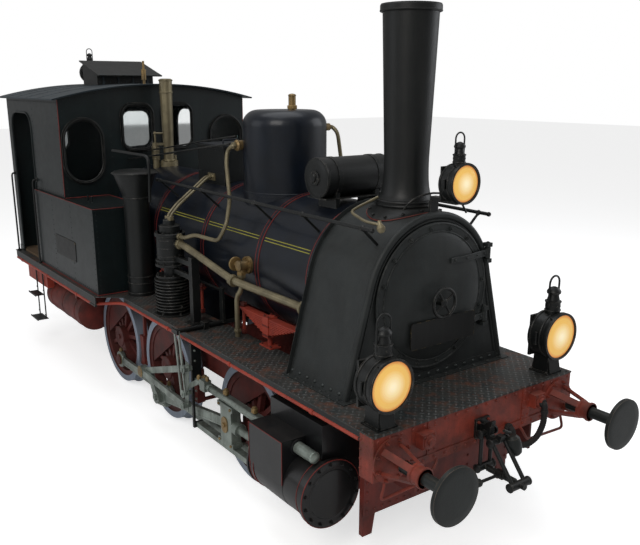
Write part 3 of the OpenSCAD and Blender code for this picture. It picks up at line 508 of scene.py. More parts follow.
@lru_cache(maxsize=None)
def effect(kind: Effect) -> bpy.types.NodeTree:
    """Build a shared effect once.

    Args:
        kind: Which effect.

    Returns:
        The node group, with inputs Amount and Scale and an output Mask.
    """
    group = bpy.data.node_groups.new(kind.value, "ShaderNodeTree")
    for name, start in (("Amount", 0.5), ("Scale", 10.0)):
        socket = group.interface.new_socket(name, in_out="INPUT", socket_type="NodeSocketFloat")
        socket.default_value = start
    group.interface.new_socket("Mask", in_out="OUTPUT", socket_type="NodeSocketFloat")
    nodes = Nodes(group)
    given = group.nodes.new("NodeGroupInput")
    amount, scale = given.outputs[0], given.outputs[1]
    makers = {
        Effect.EDGE_WEAR_AND_HIGHLIGHT: _edge_wear,
        Effect.DUST: _dust,
        Effect.SPECKLE: _speckle,
        Effect.STREAKS: _streaks,
        Effect.MOTTLE: _mottle,
    }
    mask = makers[kind](nodes, amount, scale)
    out = group.nodes.new("NodeGroupOutput")
    group.links.new(mask, out.inputs[0])
    return group


def _edge_wear(nodes: Nodes, amount: Any, scale: Any) -> Any:
    """Mask the edges, where a rounded normal leaves the true one, in patches: worn paint, and on
    the rivets and black iron also a painted highlight.
    """
    soft = nodes.add("Bevel", {"Radius": 0.006}, samples=4).outputs[0]
    true = nodes.add("NewGeometry").outputs["Normal"]
    dot = nodes.add("VectorMath", {0: soft, 1: true}, operation="DOT_PRODUCT").outputs["Value"]
    edge = nodes.ramp(nodes.math("SUBTRACT", 1.0, dot), 0.01, 0.22)
    patch = nodes.noise(nodes.place(), 1.0, 6.0, 0.65)
    nodes.put(patch.node.inputs["Scale"], scale)
    low = nodes.math("SUBTRACT", 0.75, nodes.math("MULTIPLY", amount, 0.5))
    broken = nodes.math("MULTIPLY", nodes.math("SUBTRACT", patch, low), 6.0, clamp=True)
    return nodes.math("MULTIPLY", edge, broken, clamp=True)


def _dust(nodes: Nodes, amount: Any, scale: Any) -> Any:
    """Mask what faces up, in drifts, and whatever is low near the rail."""
    normal = nodes.add("NewGeometry").outputs["Normal"]
    up = nodes.add("SeparateXYZ", {0: normal}).outputs[2]
    drift = nodes.noise(nodes.place(), 1.0, 5.0, 0.6)
    nodes.put(drift.node.inputs["Scale"], scale)
    lying = nodes.math("MULTIPLY", nodes.ramp(up, 0.1, 1.0), nodes.ramp(drift, 0.3, 0.75))
    low = nodes.ramp(nodes.add("SeparateXYZ", {0: nodes.place()}).outputs[2], 1.1, 0.2)
    thrown = nodes.math("MULTIPLY", nodes.math("MULTIPLY", low, 0.35), nodes.ramp(drift, 0.4, 0.8))
    return nodes.math("MULTIPLY", nodes.math("ADD", lying, thrown), amount, clamp=True)


def _speckle(nodes: Nodes, amount: Any, scale: Any) -> Any:
    """Mask small spots of chipped or rusted paint, thicker in some places."""
    fine = nodes.noise(nodes.place(), 1.0, 3.0, 0.7)
    nodes.put(fine.node.inputs["Scale"], scale)
    wide = nodes.noise(nodes.place(), 2.2, 3.0, 0.6)
    low = nodes.math("SUBTRACT", 0.86, nodes.math("MULTIPLY", amount, wide))
    return nodes.math("MULTIPLY", nodes.math("SUBTRACT", fine, low), 14.0, clamp=True)


def _streaks(nodes: Nodes, amount: Any, scale: Any) -> Any:
    """Mask long upright runs of dirt, a noise stretched down the sides."""
    run = nodes.noise(nodes.place((1.0, 1.0, 0.07)), 1.0, 5.0, 0.6)
    nodes.put(run.node.inputs["Scale"], scale)
    return nodes.math("MULTIPLY", nodes.ramp(run, 0.45, 0.75), amount, clamp=True)


def _mottle(nodes: Nodes, amount: Any, scale: Any) -> Any:
    """Give an uneven value for clouds of tone and height, a layered noise."""
    cloud = nodes.noise(nodes.place(), 1.0, 8.0, 0.62)
    nodes.put(cloud.node.inputs["Scale"], scale)
    return nodes.math("MULTIPLY", cloud, amount, clamp=True)


BARE = srgb(120, 122, 122)
RUST = srgb(92, 52, 34)
DIRT = srgb(84, 74, 64)


@dataclass(frozen=True)
class Finish:
    """A painted or bare surface with its wear.

    Attributes:
        name: The material's name.
        colour: Main colour.
        second: Colour of its cloudy patches.
        metallic: How metallic the clean surface is.
        roughness: Roughness of the clean surface.
        worn: Colour of the worn edges; pale on the rivets and black iron, where it is also a
            painted highlight.
        wear: How much of the edges takes the worn colour.
        rust: How many rusted specks it has.
        dust: How much dust lies on it.
        streak: How strong its upright runs of dirt are.
        coat: How glossy its varnish is.
        bump: Height of its unevenness.
        grain: Scale of that unevenness.
        streak_colour: Colour of the runs.
        shine: Strength of its plain gloss.
    """

    name: str
    colour: Colour
    second: Colour
    metallic: float = 0.0
    roughness: float = 0.45
    worn: Colour = BARE
    wear: float = 0.35
    rust: float = 0.25
    dust: float = 0.25
    streak: float = 0.15
    coat: float = 0.0
    bump: float = 0.15
    grain: float = 60.0
    streak_colour: Colour = srgb(58, 56, 52)
    shine: float = 0.32

    def shade(self, nodes: Nodes, kind: Effect, amount: float, scale: float) -> Any:
        """Place a shared effect and return its mask."""
        group = nodes.tree.nodes.new("ShaderNodeGroup")
        group.node_tree = effect(kind)
        group.inputs["Amount"].default_value = amount
        group.inputs["Scale"].default_value = scale
        return group.outputs[0]

    def base(self, nodes: Nodes) -> Any:
        """Return the clean surface's colour: two tones in clouds."""
        cloud = self.shade(nodes, Effect.MOTTLE, 1.0, 5.0)
        return nodes.mix(nodes.ramp(cloud, 0.3, 0.7), self.colour, self.second)

    def height(self, nodes: Nodes) -> Any:
        """Return the height of the clean surface's unevenness."""
        return self.shade(nodes, Effect.MOTTLE, 1.0, self.grain)

    def finish(self, nodes: Nodes, shader: Any) -> None:
        """Add what a kind of finish has beyond the rest."""

    @lru_cache(maxsize=None)
    def material(self) -> bpy.types.Material:
        """Build the material once.

        Returns:
            The material, its nodes layered from clean paint to dust.
        """
        material = bpy.data.materials.new(self.name)
        material.use_nodes = True
        nodes = Nodes(material.node_tree)
        colour = self.base(nodes)
        streaks = self.shade(nodes, Effect.STREAKS, self.streak, 16.0)
        colour = nodes.mix(streaks, colour, self.streak_colour)
        specks = self.shade(nodes, Effect.SPECKLE, self.rust, 70.0)
        colour = nodes.mix(specks, colour, RUST)
        # Edges take the worn colour: worn paint, and on the rivets and black iron also a painted
        # highlight.
        edges = self.shade(nodes, Effect.EDGE_WEAR_AND_HIGHLIGHT, self.wear, 22.0)
        colour = nodes.mix(edges, colour, self.worn)
        dust = self.shade(nodes, Effect.DUST, self.dust, 7.0)
        colour = nodes.mix(dust, colour, DIRT)
        rough = nodes.math("MULTIPLY_ADD", dust, 0.3, self.roughness)
        rough = nodes.math("MULTIPLY_ADD", specks, 0.25, rough)
        uneven = self.shade(nodes, Effect.MOTTLE, 0.16, 11.0)
        rough = nodes.math("ADD", rough, uneven, clamp=True)
        bump = nodes.add(
            "Bump", {"Strength": self.bump, "Distance": 0.003, "Height": self.height(nodes)}
        )
        shader = nodes.add(
            "BsdfPrincipled",
            {
                "Base Color": colour,
                "Roughness": rough,
                "Normal": bump.outputs[0],
                "Coat Weight": self.coat,
                "Coat Roughness": 0.12,
                "Specular IOR Level": self.shine,
            },
        )
        if self.metallic:
            shader.inputs["Specular IOR Level"].default_value = 0.5
            clean = nodes.math("SUBTRACT", 1.0, nodes.math("MAXIMUM", specks, dust))
            metal = nodes.math("MULTIPLY", clean, self.metallic)
            nodes.put(shader.inputs["Metallic"], metal)
        self.finish(nodes, shader)
        out = nodes.add("OutputMaterial")
        material.node_tree.links.new(shader.outputs[0], out.inputs[0])
        return material


@dataclass(frozen=True)
class TreadPlate(Finish):
    """Painted floor plate with raised bars that cross at right angles."""

    pitch: float = 0.048

    def pattern(self, nodes: Nodes) -> Any:
        """Mask the bars: cells of a turned chequer, long one way then the other."""
        turned = nodes.add(
            "Mapping",
            {"Vector": nodes.place(), "Rotation": (0, 0, pi / 4), "Scale": (1 / self.pitch,) * 3},
        ).outputs[0]
        split = nodes.add("SeparateXYZ", {0: turned})
        x, y = split.outputs[0], split.outputs[1]
        u = nodes.math("ABSOLUTE", nodes.math("SUBTRACT", nodes.math("FRACT", x), 0.5))
        v = nodes.math("ABSOLUTE", nodes.math("SUBTRACT", nodes.math("FRACT", y), 0.5))
        odd = nodes.math(
            "MODULO",
            nodes.math(
                "ABSOLUTE", nodes.math("ADD", nodes.math("FLOOR", x), nodes.math("FLOOR", y))
            ),
            2.0,
        )
        odd = nodes.math("GREATER_THAN", odd, 0.5)
        across = nodes.math("ADD", nodes.math("MULTIPLY", u, 0.9), nodes.math("MULTIPLY", v, 2.6))
        along = nodes.math("ADD", nodes.math("MULTIPLY", u, 2.6), nodes.math("MULTIPLY", v, 0.9))
        gap = nodes.add("Mix", {0: odd, 2: across, 3: along}, data_type="FLOAT").outputs[0]
        return nodes.ramp(gap, 0.52, 0.3)

    def base(self, nodes: Nodes) -> Any:
        """Return the paint, worn to metal and rust on the bars."""
        colour = Finish.base(self, nodes)
        patch = nodes.ramp(self.shade(nodes, Effect.MOTTLE, 1.0, 3.0), 0.35, 0.65)
        worn = nodes.math(
            "MULTIPLY", self.pattern(nodes), nodes.math("MULTIPLY_ADD", patch, 0.5, 0.12)
        )
        colour = nodes.mix(worn, colour, BARE)
        stain = nodes.ramp(self.shade(nodes, Effect.MOTTLE, 1.0, 9.0), 0.52, 0.7, 0.75)
        return nodes.mix(stain, colour, RUST)

    def height(self, nodes: Nodes) -> Any:
        """Return the height of the bars."""
        return self.pattern(nodes)


@dataclass(frozen=True)
class WheelPaint(Finish):
    """Red spokes and hub inside a bare tyre, told apart by the radius."""

    axles: tuple[float, ...] = (1.784, 0.084, -1.216)
    axle_z: float = 0.578
    tyre: float = 0.478
    steel: Colour = srgb(150, 160, 174)

    def tyre_mask(self, nodes: Nodes) -> Any:
        """Mask what lies further from the nearest axle than the tyre's inside."""
        split = nodes.add("SeparateXYZ", {0: nodes.place()})
        x, z = split.outputs[0], split.outputs[2]
        near: Any = None
        for axle in self.axles:
            gap = nodes.math("ABSOLUTE", nodes.math("SUBTRACT", x, axle))
            near = gap if near is None else nodes.math("MINIMUM", near, gap)
        down = nodes.math("SUBTRACT", z, self.axle_z)
        square = nodes.math(
            "ADD", nodes.math("POWER", near, 2.0), nodes.math("MULTIPLY", down, down)
        )
        return nodes.ramp(nodes.math("SQRT", square), self.tyre - 0.001, self.tyre + 0.001)

    def base(self, nodes: Nodes) -> Any:
        """Return red paint inside the tyre and steel on it."""
        return nodes.mix(self.tyre_mask(nodes), Finish.base(self, nodes), self.steel)

    def finish(self, nodes: Nodes, shader: Any) -> None:
        """Make the tyre metallic."""
        nodes.put(shader.inputs["Metallic"], nodes.math("MULTIPLY", self.tyre_mask(nodes), 0.75))


@dataclass(frozen=True)
class Glass(Finish):
    """Clear window glass with a light dust."""

    def finish(self, nodes: Nodes, shader: Any) -> None:
        """Let light through."""
        shader.inputs["Transmission Weight"].default_value = 1.0
        shader.inputs["IOR"].default_value = 1.06
        shader.inputs["Metallic"].default_value = 0.0


@dataclass(frozen=True)
class Glow(Finish):
    """A lit lens, white in the middle and orange at its rim, by the glow attribute."""

    rim: Colour = srgb(224, 138, 74)
    middle: Colour = srgb(232, 186, 98)
    core: Colour = srgb(252, 238, 196)

    def base(self, nodes: Nodes) -> Any:
        """Blend rim, middle and core by the distance from the lens's axis."""
        radial = nodes.add("Attribute", attribute_name="glow").outputs["Fac"]
        colour = nodes.mix(nodes.ramp(radial, 1.0, 0.84), self.rim, self.middle)
        colour = nodes.mix(nodes.ramp(radial, 0.66, 0.1), colour, self.core)
        rings = nodes.math("SINE", nodes.math("MULTIPLY", radial, 60.0))
        return nodes.mix(nodes.ramp(rings, 0.6, 1.0, 0.10), colour, self.rim)

    def finish(self, nodes: Nodes, shader: Any) -> None:
        """Make it shine with its own colours."""
        nodes.put(shader.inputs["Emission Color"], self.base(nodes))
        shader.inputs["Emission Strength"].default_value = 0.5


class Finishes:
    """The locomotive's paints and metals."""

    FRAME_RED = Finish(
        "frame_red", srgb(120, 46, 38), srgb(62, 28, 25), roughness=0.45, worn=srgb(60, 34, 30),
        wear=0.4, rust=0.42, dust=0.35, streak=0.3, streak_colour=srgb(48, 30, 27), bump=0.3,
    )
    BEAM_RED = Finish(
        "beam_red", srgb(148, 60, 44), srgb(72, 33, 29), roughness=0.4, worn=srgb(64, 34, 28),
        wear=0.5, rust=0.5, dust=0.25, streak=0.4, streak_colour=srgb(58, 33, 28), bump=0.3,
    )
    WHEEL_RED = WheelPaint(
        "wheel_red", srgb(92, 36, 32), srgb(58, 25, 23), roughness=0.5, wear=0.3, rust=0.3,
        dust=0.3, worn=srgb(70, 40, 34),
    )
    BOARD = TreadPlate(
        "board_black", srgb(42, 48, 48), srgb(30, 34, 35), roughness=0.36, wear=0.5, rust=0.5,
        dust=0.3, bump=0.55, worn=srgb(84, 66, 56),
    )
    # Black iron: broad, pale worn edges, partly worn metal and partly a painted highlight along the
    # edges.
    BLACK_IRON = Finish(
        "black_iron", srgb(20, 23, 23), srgb(13, 15, 15), roughness=0.32, wear=0.6,
        worn=srgb(112, 108, 102), rust=0.15, bump=0.3, dust=0.08, streak=0.06,
    )
    CYLINDER = Finish(
        "cylinder_black", srgb(20, 21, 23), srgb(15, 16, 17), roughness=0.28, wear=0.3,
        worn=srgb(80, 62, 54), rust=0.12, streak=0.1, dust=0.12, bump=0.2, coat=0.2,
    )
    BOILER = Finish(
        "boiler_black", srgb(12, 20, 31), srgb(8, 13, 20), roughness=0.27, wear=0.2,
        worn=srgb(60, 62, 64), rust=0.06, dust=0.05, streak=0.06, coat=0.12, bump=0.08, grain=30.0,
        streak_colour=srgb(52, 52, 50),
    )
    SMOKEBOX = Finish(
        "smokebox_black", srgb(40, 44, 44), srgb(29, 32, 32), roughness=0.42, wear=0.5,
        worn=srgb(96, 96, 92), rust=0.15, dust=0.08, streak=0.18, bump=0.4, grain=120.0,
        streak_colour=srgb(60, 60, 56),
    )
    CHIMNEY = Finish(
        "chimney_black", srgb(20, 22, 22), srgb(14, 16, 16), roughness=0.34, wear=0.4,
        worn=srgb(78, 60, 50), rust=0.15, dust=0.06, streak=0.14, bump=0.35, grain=90.0,
    )
    CAB = Finish(
        "cab_green_black", srgb(16, 26, 27), srgb(11, 17, 18), roughness=0.3, wear=0.3,
        worn=srgb(76, 60, 52), rust=0.1, dust=0.06, streak=0.1, coat=0.1, bump=0.1, grain=24.0,
        streak_colour=srgb(46, 52, 50),
    )
    ROOF = Finish(
        "roof_grey", srgb(52, 62, 68), srgb(38, 45, 49), roughness=0.45, wear=0.4,
        worn=srgb(96, 90, 82), rust=0.2, dust=0.12, streak=0.1, bump=0.3,
    )
    STEEL = Finish(
        "motion_steel", srgb(158, 168, 160), srgb(96, 104, 98), metallic=0.6, roughness=0.3,
        worn=srgb(214, 220, 214), wear=0.6, rust=0.25, dust=0.12, streak=0.5, bump=0.3,
        streak_colour=srgb(52, 50, 42),
    )
    BRASS = Finish(
        "brass", srgb(160, 132, 84), srgb(104, 88, 62), metallic=0.6, roughness=0.32,
        worn=srgb(198, 176, 120), wear=0.5, rust=0.3, dust=0.2, streak=0.4, bump=0.3,
        streak_colour=srgb(70, 66, 54),
    )
    PIPE = Finish(
        "pipe_khaki", srgb(136, 126, 98), srgb(98, 90, 70), metallic=0.45, roughness=0.28,
        worn=srgb(190, 168, 120), wear=0.3, rust=0.2, dust=0.06, streak=0.3, bump=0.2,
        streak_colour=srgb(56, 52, 44),
    )
    RUBBER = Finish(
        "hose_black", srgb(26, 26, 27), srgb(20, 20, 21), roughness=0.62, wear=0.2, rust=0.1,
        dust=0.35, bump=0.3, grain=180.0,
    )
    LINING_RED = Finish(
        "lining_red", srgb(128, 42, 36), srgb(96, 34, 30), roughness=0.5, wear=0.2, rust=0.3,
        dust=0.1, bump=0.1,
    )
    LINING_YELLOW = Finish(
        "lining_yellow", srgb(148, 142, 52), srgb(120, 116, 44), roughness=0.5, wear=0.2,
        rust=0.2, dust=0.1, bump=0.1,
    )
    DISC = Finish(
        "disc_green", srgb(27, 33, 32), srgb(19, 23, 22), roughness=0.34, wear=0.8,
        worn=srgb(112, 96, 80), rust=0.3, dust=0.1, streak=0.1, bump=0.25,
    )
    WOOD = Finish(
        "floor_wood", srgb(104, 84, 62), srgb(78, 62, 46), roughness=0.7, wear=0.3,
        worn=srgb(140, 118, 90), rust=0.1, dust=0.4, bump=0.5, grain=40.0,
    )
    PIPE_RED = Finish(
        "pipe_red", srgb(168, 66, 48), srgb(130, 50, 40), roughness=0.4, wear=0.4,
        worn=srgb(60, 40, 36), rust=0.35, dust=0.1, bump=0.2,
    )
    # Rivet heads paler than the smokebox, with pale worn edges: partly worn metal and partly a
    # painted highlight for the light spots on them.
    RIVET = Finish(
        "rivet_wear_and_highlight", srgb(58, 64, 63), srgb(44, 48, 47), metallic=0.3, roughness=0.28, wear=0.6,
        worn=srgb(128, 128, 122), rust=0.1, dust=0.05, streak=0.0, bump=0.2,
    )
    PLATE = Finish(
        "plate_black", srgb(14, 15, 15), srgb(10, 11, 11), roughness=0.35, wear=0.5,
        worn=srgb(150, 130, 84), rust=0.1, dust=0.05, bump=0.2,
    )
    PANE = Glass(
        "pane", srgb(236, 238, 238), srgb(226, 230, 230), roughness=0.03, wear=0.0, rust=0.0,
        dust=0.04, streak=0.03, bump=0.02,
    )
    LENS = Glow(
        "lens", srgb(232, 186, 98), srgb(224, 138, 74), roughness=0.12, wear=0.0, rust=0.0,
        dust=0.0, streak=0.0, bump=0.02,
    )


@dataclass
class Workshop:
    """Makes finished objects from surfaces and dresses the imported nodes."""

    frame: dict[str, Any]

    def piece(
        self, name: str, surfaces: list[Surface], finish: Finish, slot: str,
        body: str = "engine", replaces: tuple[str, ...] = (), smooth: float = 32.0,
    ) -> bpy.types.Object:
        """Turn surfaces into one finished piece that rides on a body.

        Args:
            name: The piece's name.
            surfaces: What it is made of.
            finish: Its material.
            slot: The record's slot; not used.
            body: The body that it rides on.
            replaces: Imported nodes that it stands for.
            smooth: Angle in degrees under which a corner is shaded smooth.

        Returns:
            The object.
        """
        whole = join(surfaces)
        mesh = bpy.data.meshes.new(name)
        mesh.from_pydata(whole.points.tolist(), [], whole.faces)
        work = bmesh.new()
        work.from_mesh(mesh)
        bmesh.ops.remove_doubles(work, verts=work.verts, dist=1e-5)
        bmesh.ops.dissolve_degenerate(work, edges=work.edges, dist=1e-6)
        bmesh.ops.recalc_face_normals(work, faces=work.faces)
        work.to_mesh(mesh)
        work.free()
        mesh.polygons.foreach_set("use_smooth", np.ones(len(mesh.polygons), bool))
        mesh.set_sharp_from_angle(angle=radians(smooth))
        mesh.materials.append(finish.material())
        piece = bpy.data.objects.new(name, mesh)
        bpy.context.collection.objects.link(piece)
        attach(piece, body)
        if replaces:
            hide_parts(*replaces)
        LOG.info("%s: %d faces on %s", name, len(mesh.polygons), body)
        return piece

    def dress(self, node: str, finish: Finish, bevel: float = 0.003) -> None:
        """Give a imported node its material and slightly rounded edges.

        Args:
            node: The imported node.
            finish: Its material.
            bevel: Width of the rounding, or 0 for none.
        """
        piece = self.frame["nodes"][node]
        mesh = piece.data
        mesh.materials.clear()
        mesh.materials.append(finish.material())
        if "custom_normal" in mesh.attributes:
            mesh.attributes.remove(mesh.attributes["custom_normal"])
        mesh.polygons.foreach_set("use_smooth", np.ones(len(mesh.polygons), bool))
        weld = piece.modifiers.new("merge", "WELD")
        weld.merge_threshold = 0.00005
        if bevel:
            rounding = piece.modifiers.new("rounding", "BEVEL")
            rounding.width = bevel
            rounding.segments = 2
            rounding.limit_method = "ANGLE"
            rounding.angle_limit = radians(35)
            rounding.use_clamp_overlap = True
            rounding.harden_normals = False
        weighted = piece.modifiers.new("normals", "WEIGHTED_NORMAL")
        weighted.keep_sharp = True
        weighted.weight = 100
        LOG.info("%s: dressed in %s", node, finish.name)


# ---------------------------------------------------------------- boiler and smokebox


def resample(path: Points, spacing: float, inset: float = 0.0) -> tuple[Points, Points]:
    """Space points evenly along a path by its running length.

    Args:
        path: The path's points.
        spacing: Distance wanted between points.
        inset: Distance left free at each end.

    Returns:
        The points and the path's direction at each.
    """
    steps = np.linalg.norm(np.diff(path, axis=0), axis=1)
    length = np.concatenate(((0.0,), np.cumsum(steps)))
    count = max(2, round((length[-1] - 2 * inset) / spacing) + 1)
    at = np.linspace(inset, length[-1] - inset, count)
    places = np.stack([np.interp(at, length, path[:, i]) for i in range(3)], -1)
    ahead = np.stack([np.interp(at + 1e-3, length, path[:, i]) for i in range(3)], -1)
    back = np.stack([np.interp(at - 1e-3, length, path[:, i]) for i in range(3)], -1)
    return places, ahead - back


def ends(surface: Surface) -> Surface:
    """Return a surface together with its mirror image at the locomotive's other end."""
    other = Surface(surface.points * (-1, 1, 1), [face[::-1] for face in surface.faces])
    return join([surface, other])


@dataclass
class BoilerTrim:
    """Cladding bands, their red edges and the yellow lining on the boiler."""

    shop: Workshop
    axis_z: float = 1.928
    radius: float = 0.615
    bands: tuple[float, ...] = (2.368, 1.598, 0.586, -0.50)
    band_half: float = 0.026
    lining_degrees: float = 25.5
    lining_gap: float = 0.013

    def strip(self, x: float, half: float, proud: float) -> Surface:
        """Turn a flat hoop round the boiler."""
        low, high = self.radius - 0.002, self.radius + proud
        profile = [(x - half, low), (x - half, high), (x + half, high), (x + half, low)]
        return lathe(profile, (0, 0, self.axis_z), (1, 0, 0), 120)

    def lining(self, start: float, end: float, angle: float, half: float) -> Surface:
        """Lay a thin painted line along the boiler: radius * (cos, sin) of one angle."""
        turn = half / self.radius
        angles = np.array([-turn, -turn, turn, turn]) + angle
        out = self.radius + np.array([-0.001, 0.0012, 0.0012, -0.001])
        outline = np.stack(
            (np.full(4, start), out * np.cos(angles), self.axis_z + out * np.sin(angles)), -1
        )
        return prism(outline, (end - start, 0, 0))

    def build(self) -> None:
        """Add the bands and the lining."""
        bands = [self.strip(x, self.band_half, 0.004) for x in self.bands]
        self.shop.piece("boiler_bands", bands, Finishes.BOILER, "boiler_black")
        edges = [
            self.strip(x + side * 0.024, 0.0035, 0.0052) for x in self.bands for side in SIDES
        ]
        self.shop.piece("boiler_band_edges", edges, Finishes.LINING_RED, "beam_red")
        lines = []
        places = sorted(self.bands)
        for start, end in zip(places[:-1], places[1:]):
            for offset in (-1, 1):
                angle = radians(self.lining_degrees) + offset * self.lining_gap / self.radius
                lines.append(self.lining(start + 0.05, end - 0.05, angle, 0.0038).both())
        self.shop.piece("boiler_lining", lines, Finishes.LINING_YELLOW, "brass")
        hoop = lathe(
            [(0.0, 0.391), (0.001, 0.395), (0.016, 0.396), (0.03, 0.395), (0.034, 0.391)],
            (1.135, 0, 2.50), sides=96,
        )
        self.shop.piece("dome_trim", [hoop], Finishes.BOILER, "boiler_black")


@dataclass
class SmokeboxTrim:
    """Rivets, moulding and base angles of the smokebox, and the pipe beside it."""

    shop: Workshop
    axis_z: float = 1.928
    radius: float = 0.632
    base_half: float = 0.836
    base_z: float = 1.262
    rear_x: float = 2.395
    front_x: float = 3.130
    flare: float = radians(15.6)

    def arch(self, inset: float = 0.0) -> Points:
        """Return the outline of the smokebox: straight flanks that meet a half circle.

        Args:
            inset: How far inside the plates it runs.

        Returns:
            Points of x = 0, y and z, from the right foot over the top to the left.
        """
        radius = self.radius - inset
        angle = np.linspace(pi - self.flare, self.flare, 61) + 0.0
        arc = np.stack(
            (0 * angle, radius * np.cos(angle), self.axis_z + radius * np.sin(angle)), -1
        )
        foot = np.array([(0, -self.base_half + inset, self.base_z)])
        arc[:, 2] = np.where(arc[:, 2] < self.base_z, self.base_z, arc[:, 2])
        return np.concatenate((foot, arc, foot * (1, -1, 1)))

    def edge_rivets(self, x: float) -> Surface:
        """Set rivets round the plates near one edge, facing outwards."""
        places, ahead = resample(self.arch() + (x, 0, 0), 0.098, 0.06)
        return studs(places, np.cross((1, 0, 0), ahead) * -1, 0.015)

    def build(self) -> None:
        """Add the rivets, the moulding, the angles and the bell valve's pipe."""
        front = self.arch(0.012) + (self.front_x, 0, 0)
        parts = [tube(front - (0.004, 0, 0), 0.027, 14)]
        parts.append(tube(self.arch(0.052) + (self.front_x + 0.002, 0, 0), 0.009, 10))
        heads = [self.edge_rivets(self.front_x - 0.06), self.edge_rivets(self.rear_x + 0.035)]
        strap = resample(self.arch(-0.001) + (self.rear_x + 0.035, 0, 0), 0.03)[0]
        parts.append(sweep(strap, rounded(0.07, 0.004, 0.002)))
        angle = block((self.front_x, -0.835, BOARD_TOP), (self.front_x + 0.009, 0.835, 1.325))
        flat = block((self.front_x, -0.835, BOARD_TOP), (self.front_x + 0.06, 0.835, 1.268))
        side = block((self.rear_x, 0.835, BOARD_TOP), (self.front_x + 0.06, 0.885, 1.268))
        parts += [angle, flat, side.both()]
        row = line((self.front_x + 0.009, -0.8, 1.298), (self.front_x + 0.009, 0.8, 1.298), 0.1)
        heads.append(studs(row, (1, 0, 0), 0.013))
        row = line((self.front_x + 0.04, -0.8, 1.268), (self.front_x + 0.04, 0.8, 1.268), 0.16)
        parts.append(studs(row, (0, 0, 1), 0.013, Head.BOLT))
        row = line((self.rear_x + 0.06, 0.862, 1.268), (self.front_x - 0.04, 0.862, 1.268), 0.11)
        parts.append(studs(row, (0, 0, 1), 0.012).both())
        slope = np.array((0.0, 0.668, 0.24))
        row = line((self.rear_x + 0.06, 0.826, 1.30), (self.front_x - 0.07, 0.826, 1.30), 0.098)
        heads.append(studs(row, slope, 0.014).both())
        # The rivet heads take the paler rivet finish, which is partly a painted highlight.
        self.shop.piece("smokebox_rivets", heads, Finishes.RIVET, "smokebox_black")
        self.shop.piece("smokebox_trim", parts, Finishes.SMOKEBOX, "smokebox_black")
        self.valve()

    def valve(self) -> None:
        """Add the small brass bell valve, its pipe and the rod over the top."""
        bell = lathe(
            [(-0.034, 0.0), (-0.03, 0.018), (-0.012, 0.03), (0.006, 0.032), (0.022, 0.024),
             (0.036, 0.014), (0.06, 0.012)],
            (3.14, -0.53, 2.505), (-0.3, -0.1, 1.0), 24,
        )
        pipe = tube(
            [(3.135, -0.53, 2.53), (2.99, -0.55, 2.535), (2.76, -0.505, 2.572),
            (2.735, -0.40, 2.60),
             (2.738, -0.22, 2.655)],
            0.011, 10, 0.06,
        )
        self.shop.piece("bell_valve", [bell, pipe], Finishes.PIPE, "brass")
        top = bend([(2.95, -0.17, 2.555), (3.0, -0.12, 2.66), (3.05, 0.05, 2.71), (3.1, 0.28, 2.66),
                    (3.11, 0.36, 2.53)], 0.12)
        self.shop.piece("lamp_rod", [tube(top, 0.008, 8)], Finishes.BLACK_IRON, "black_iron")


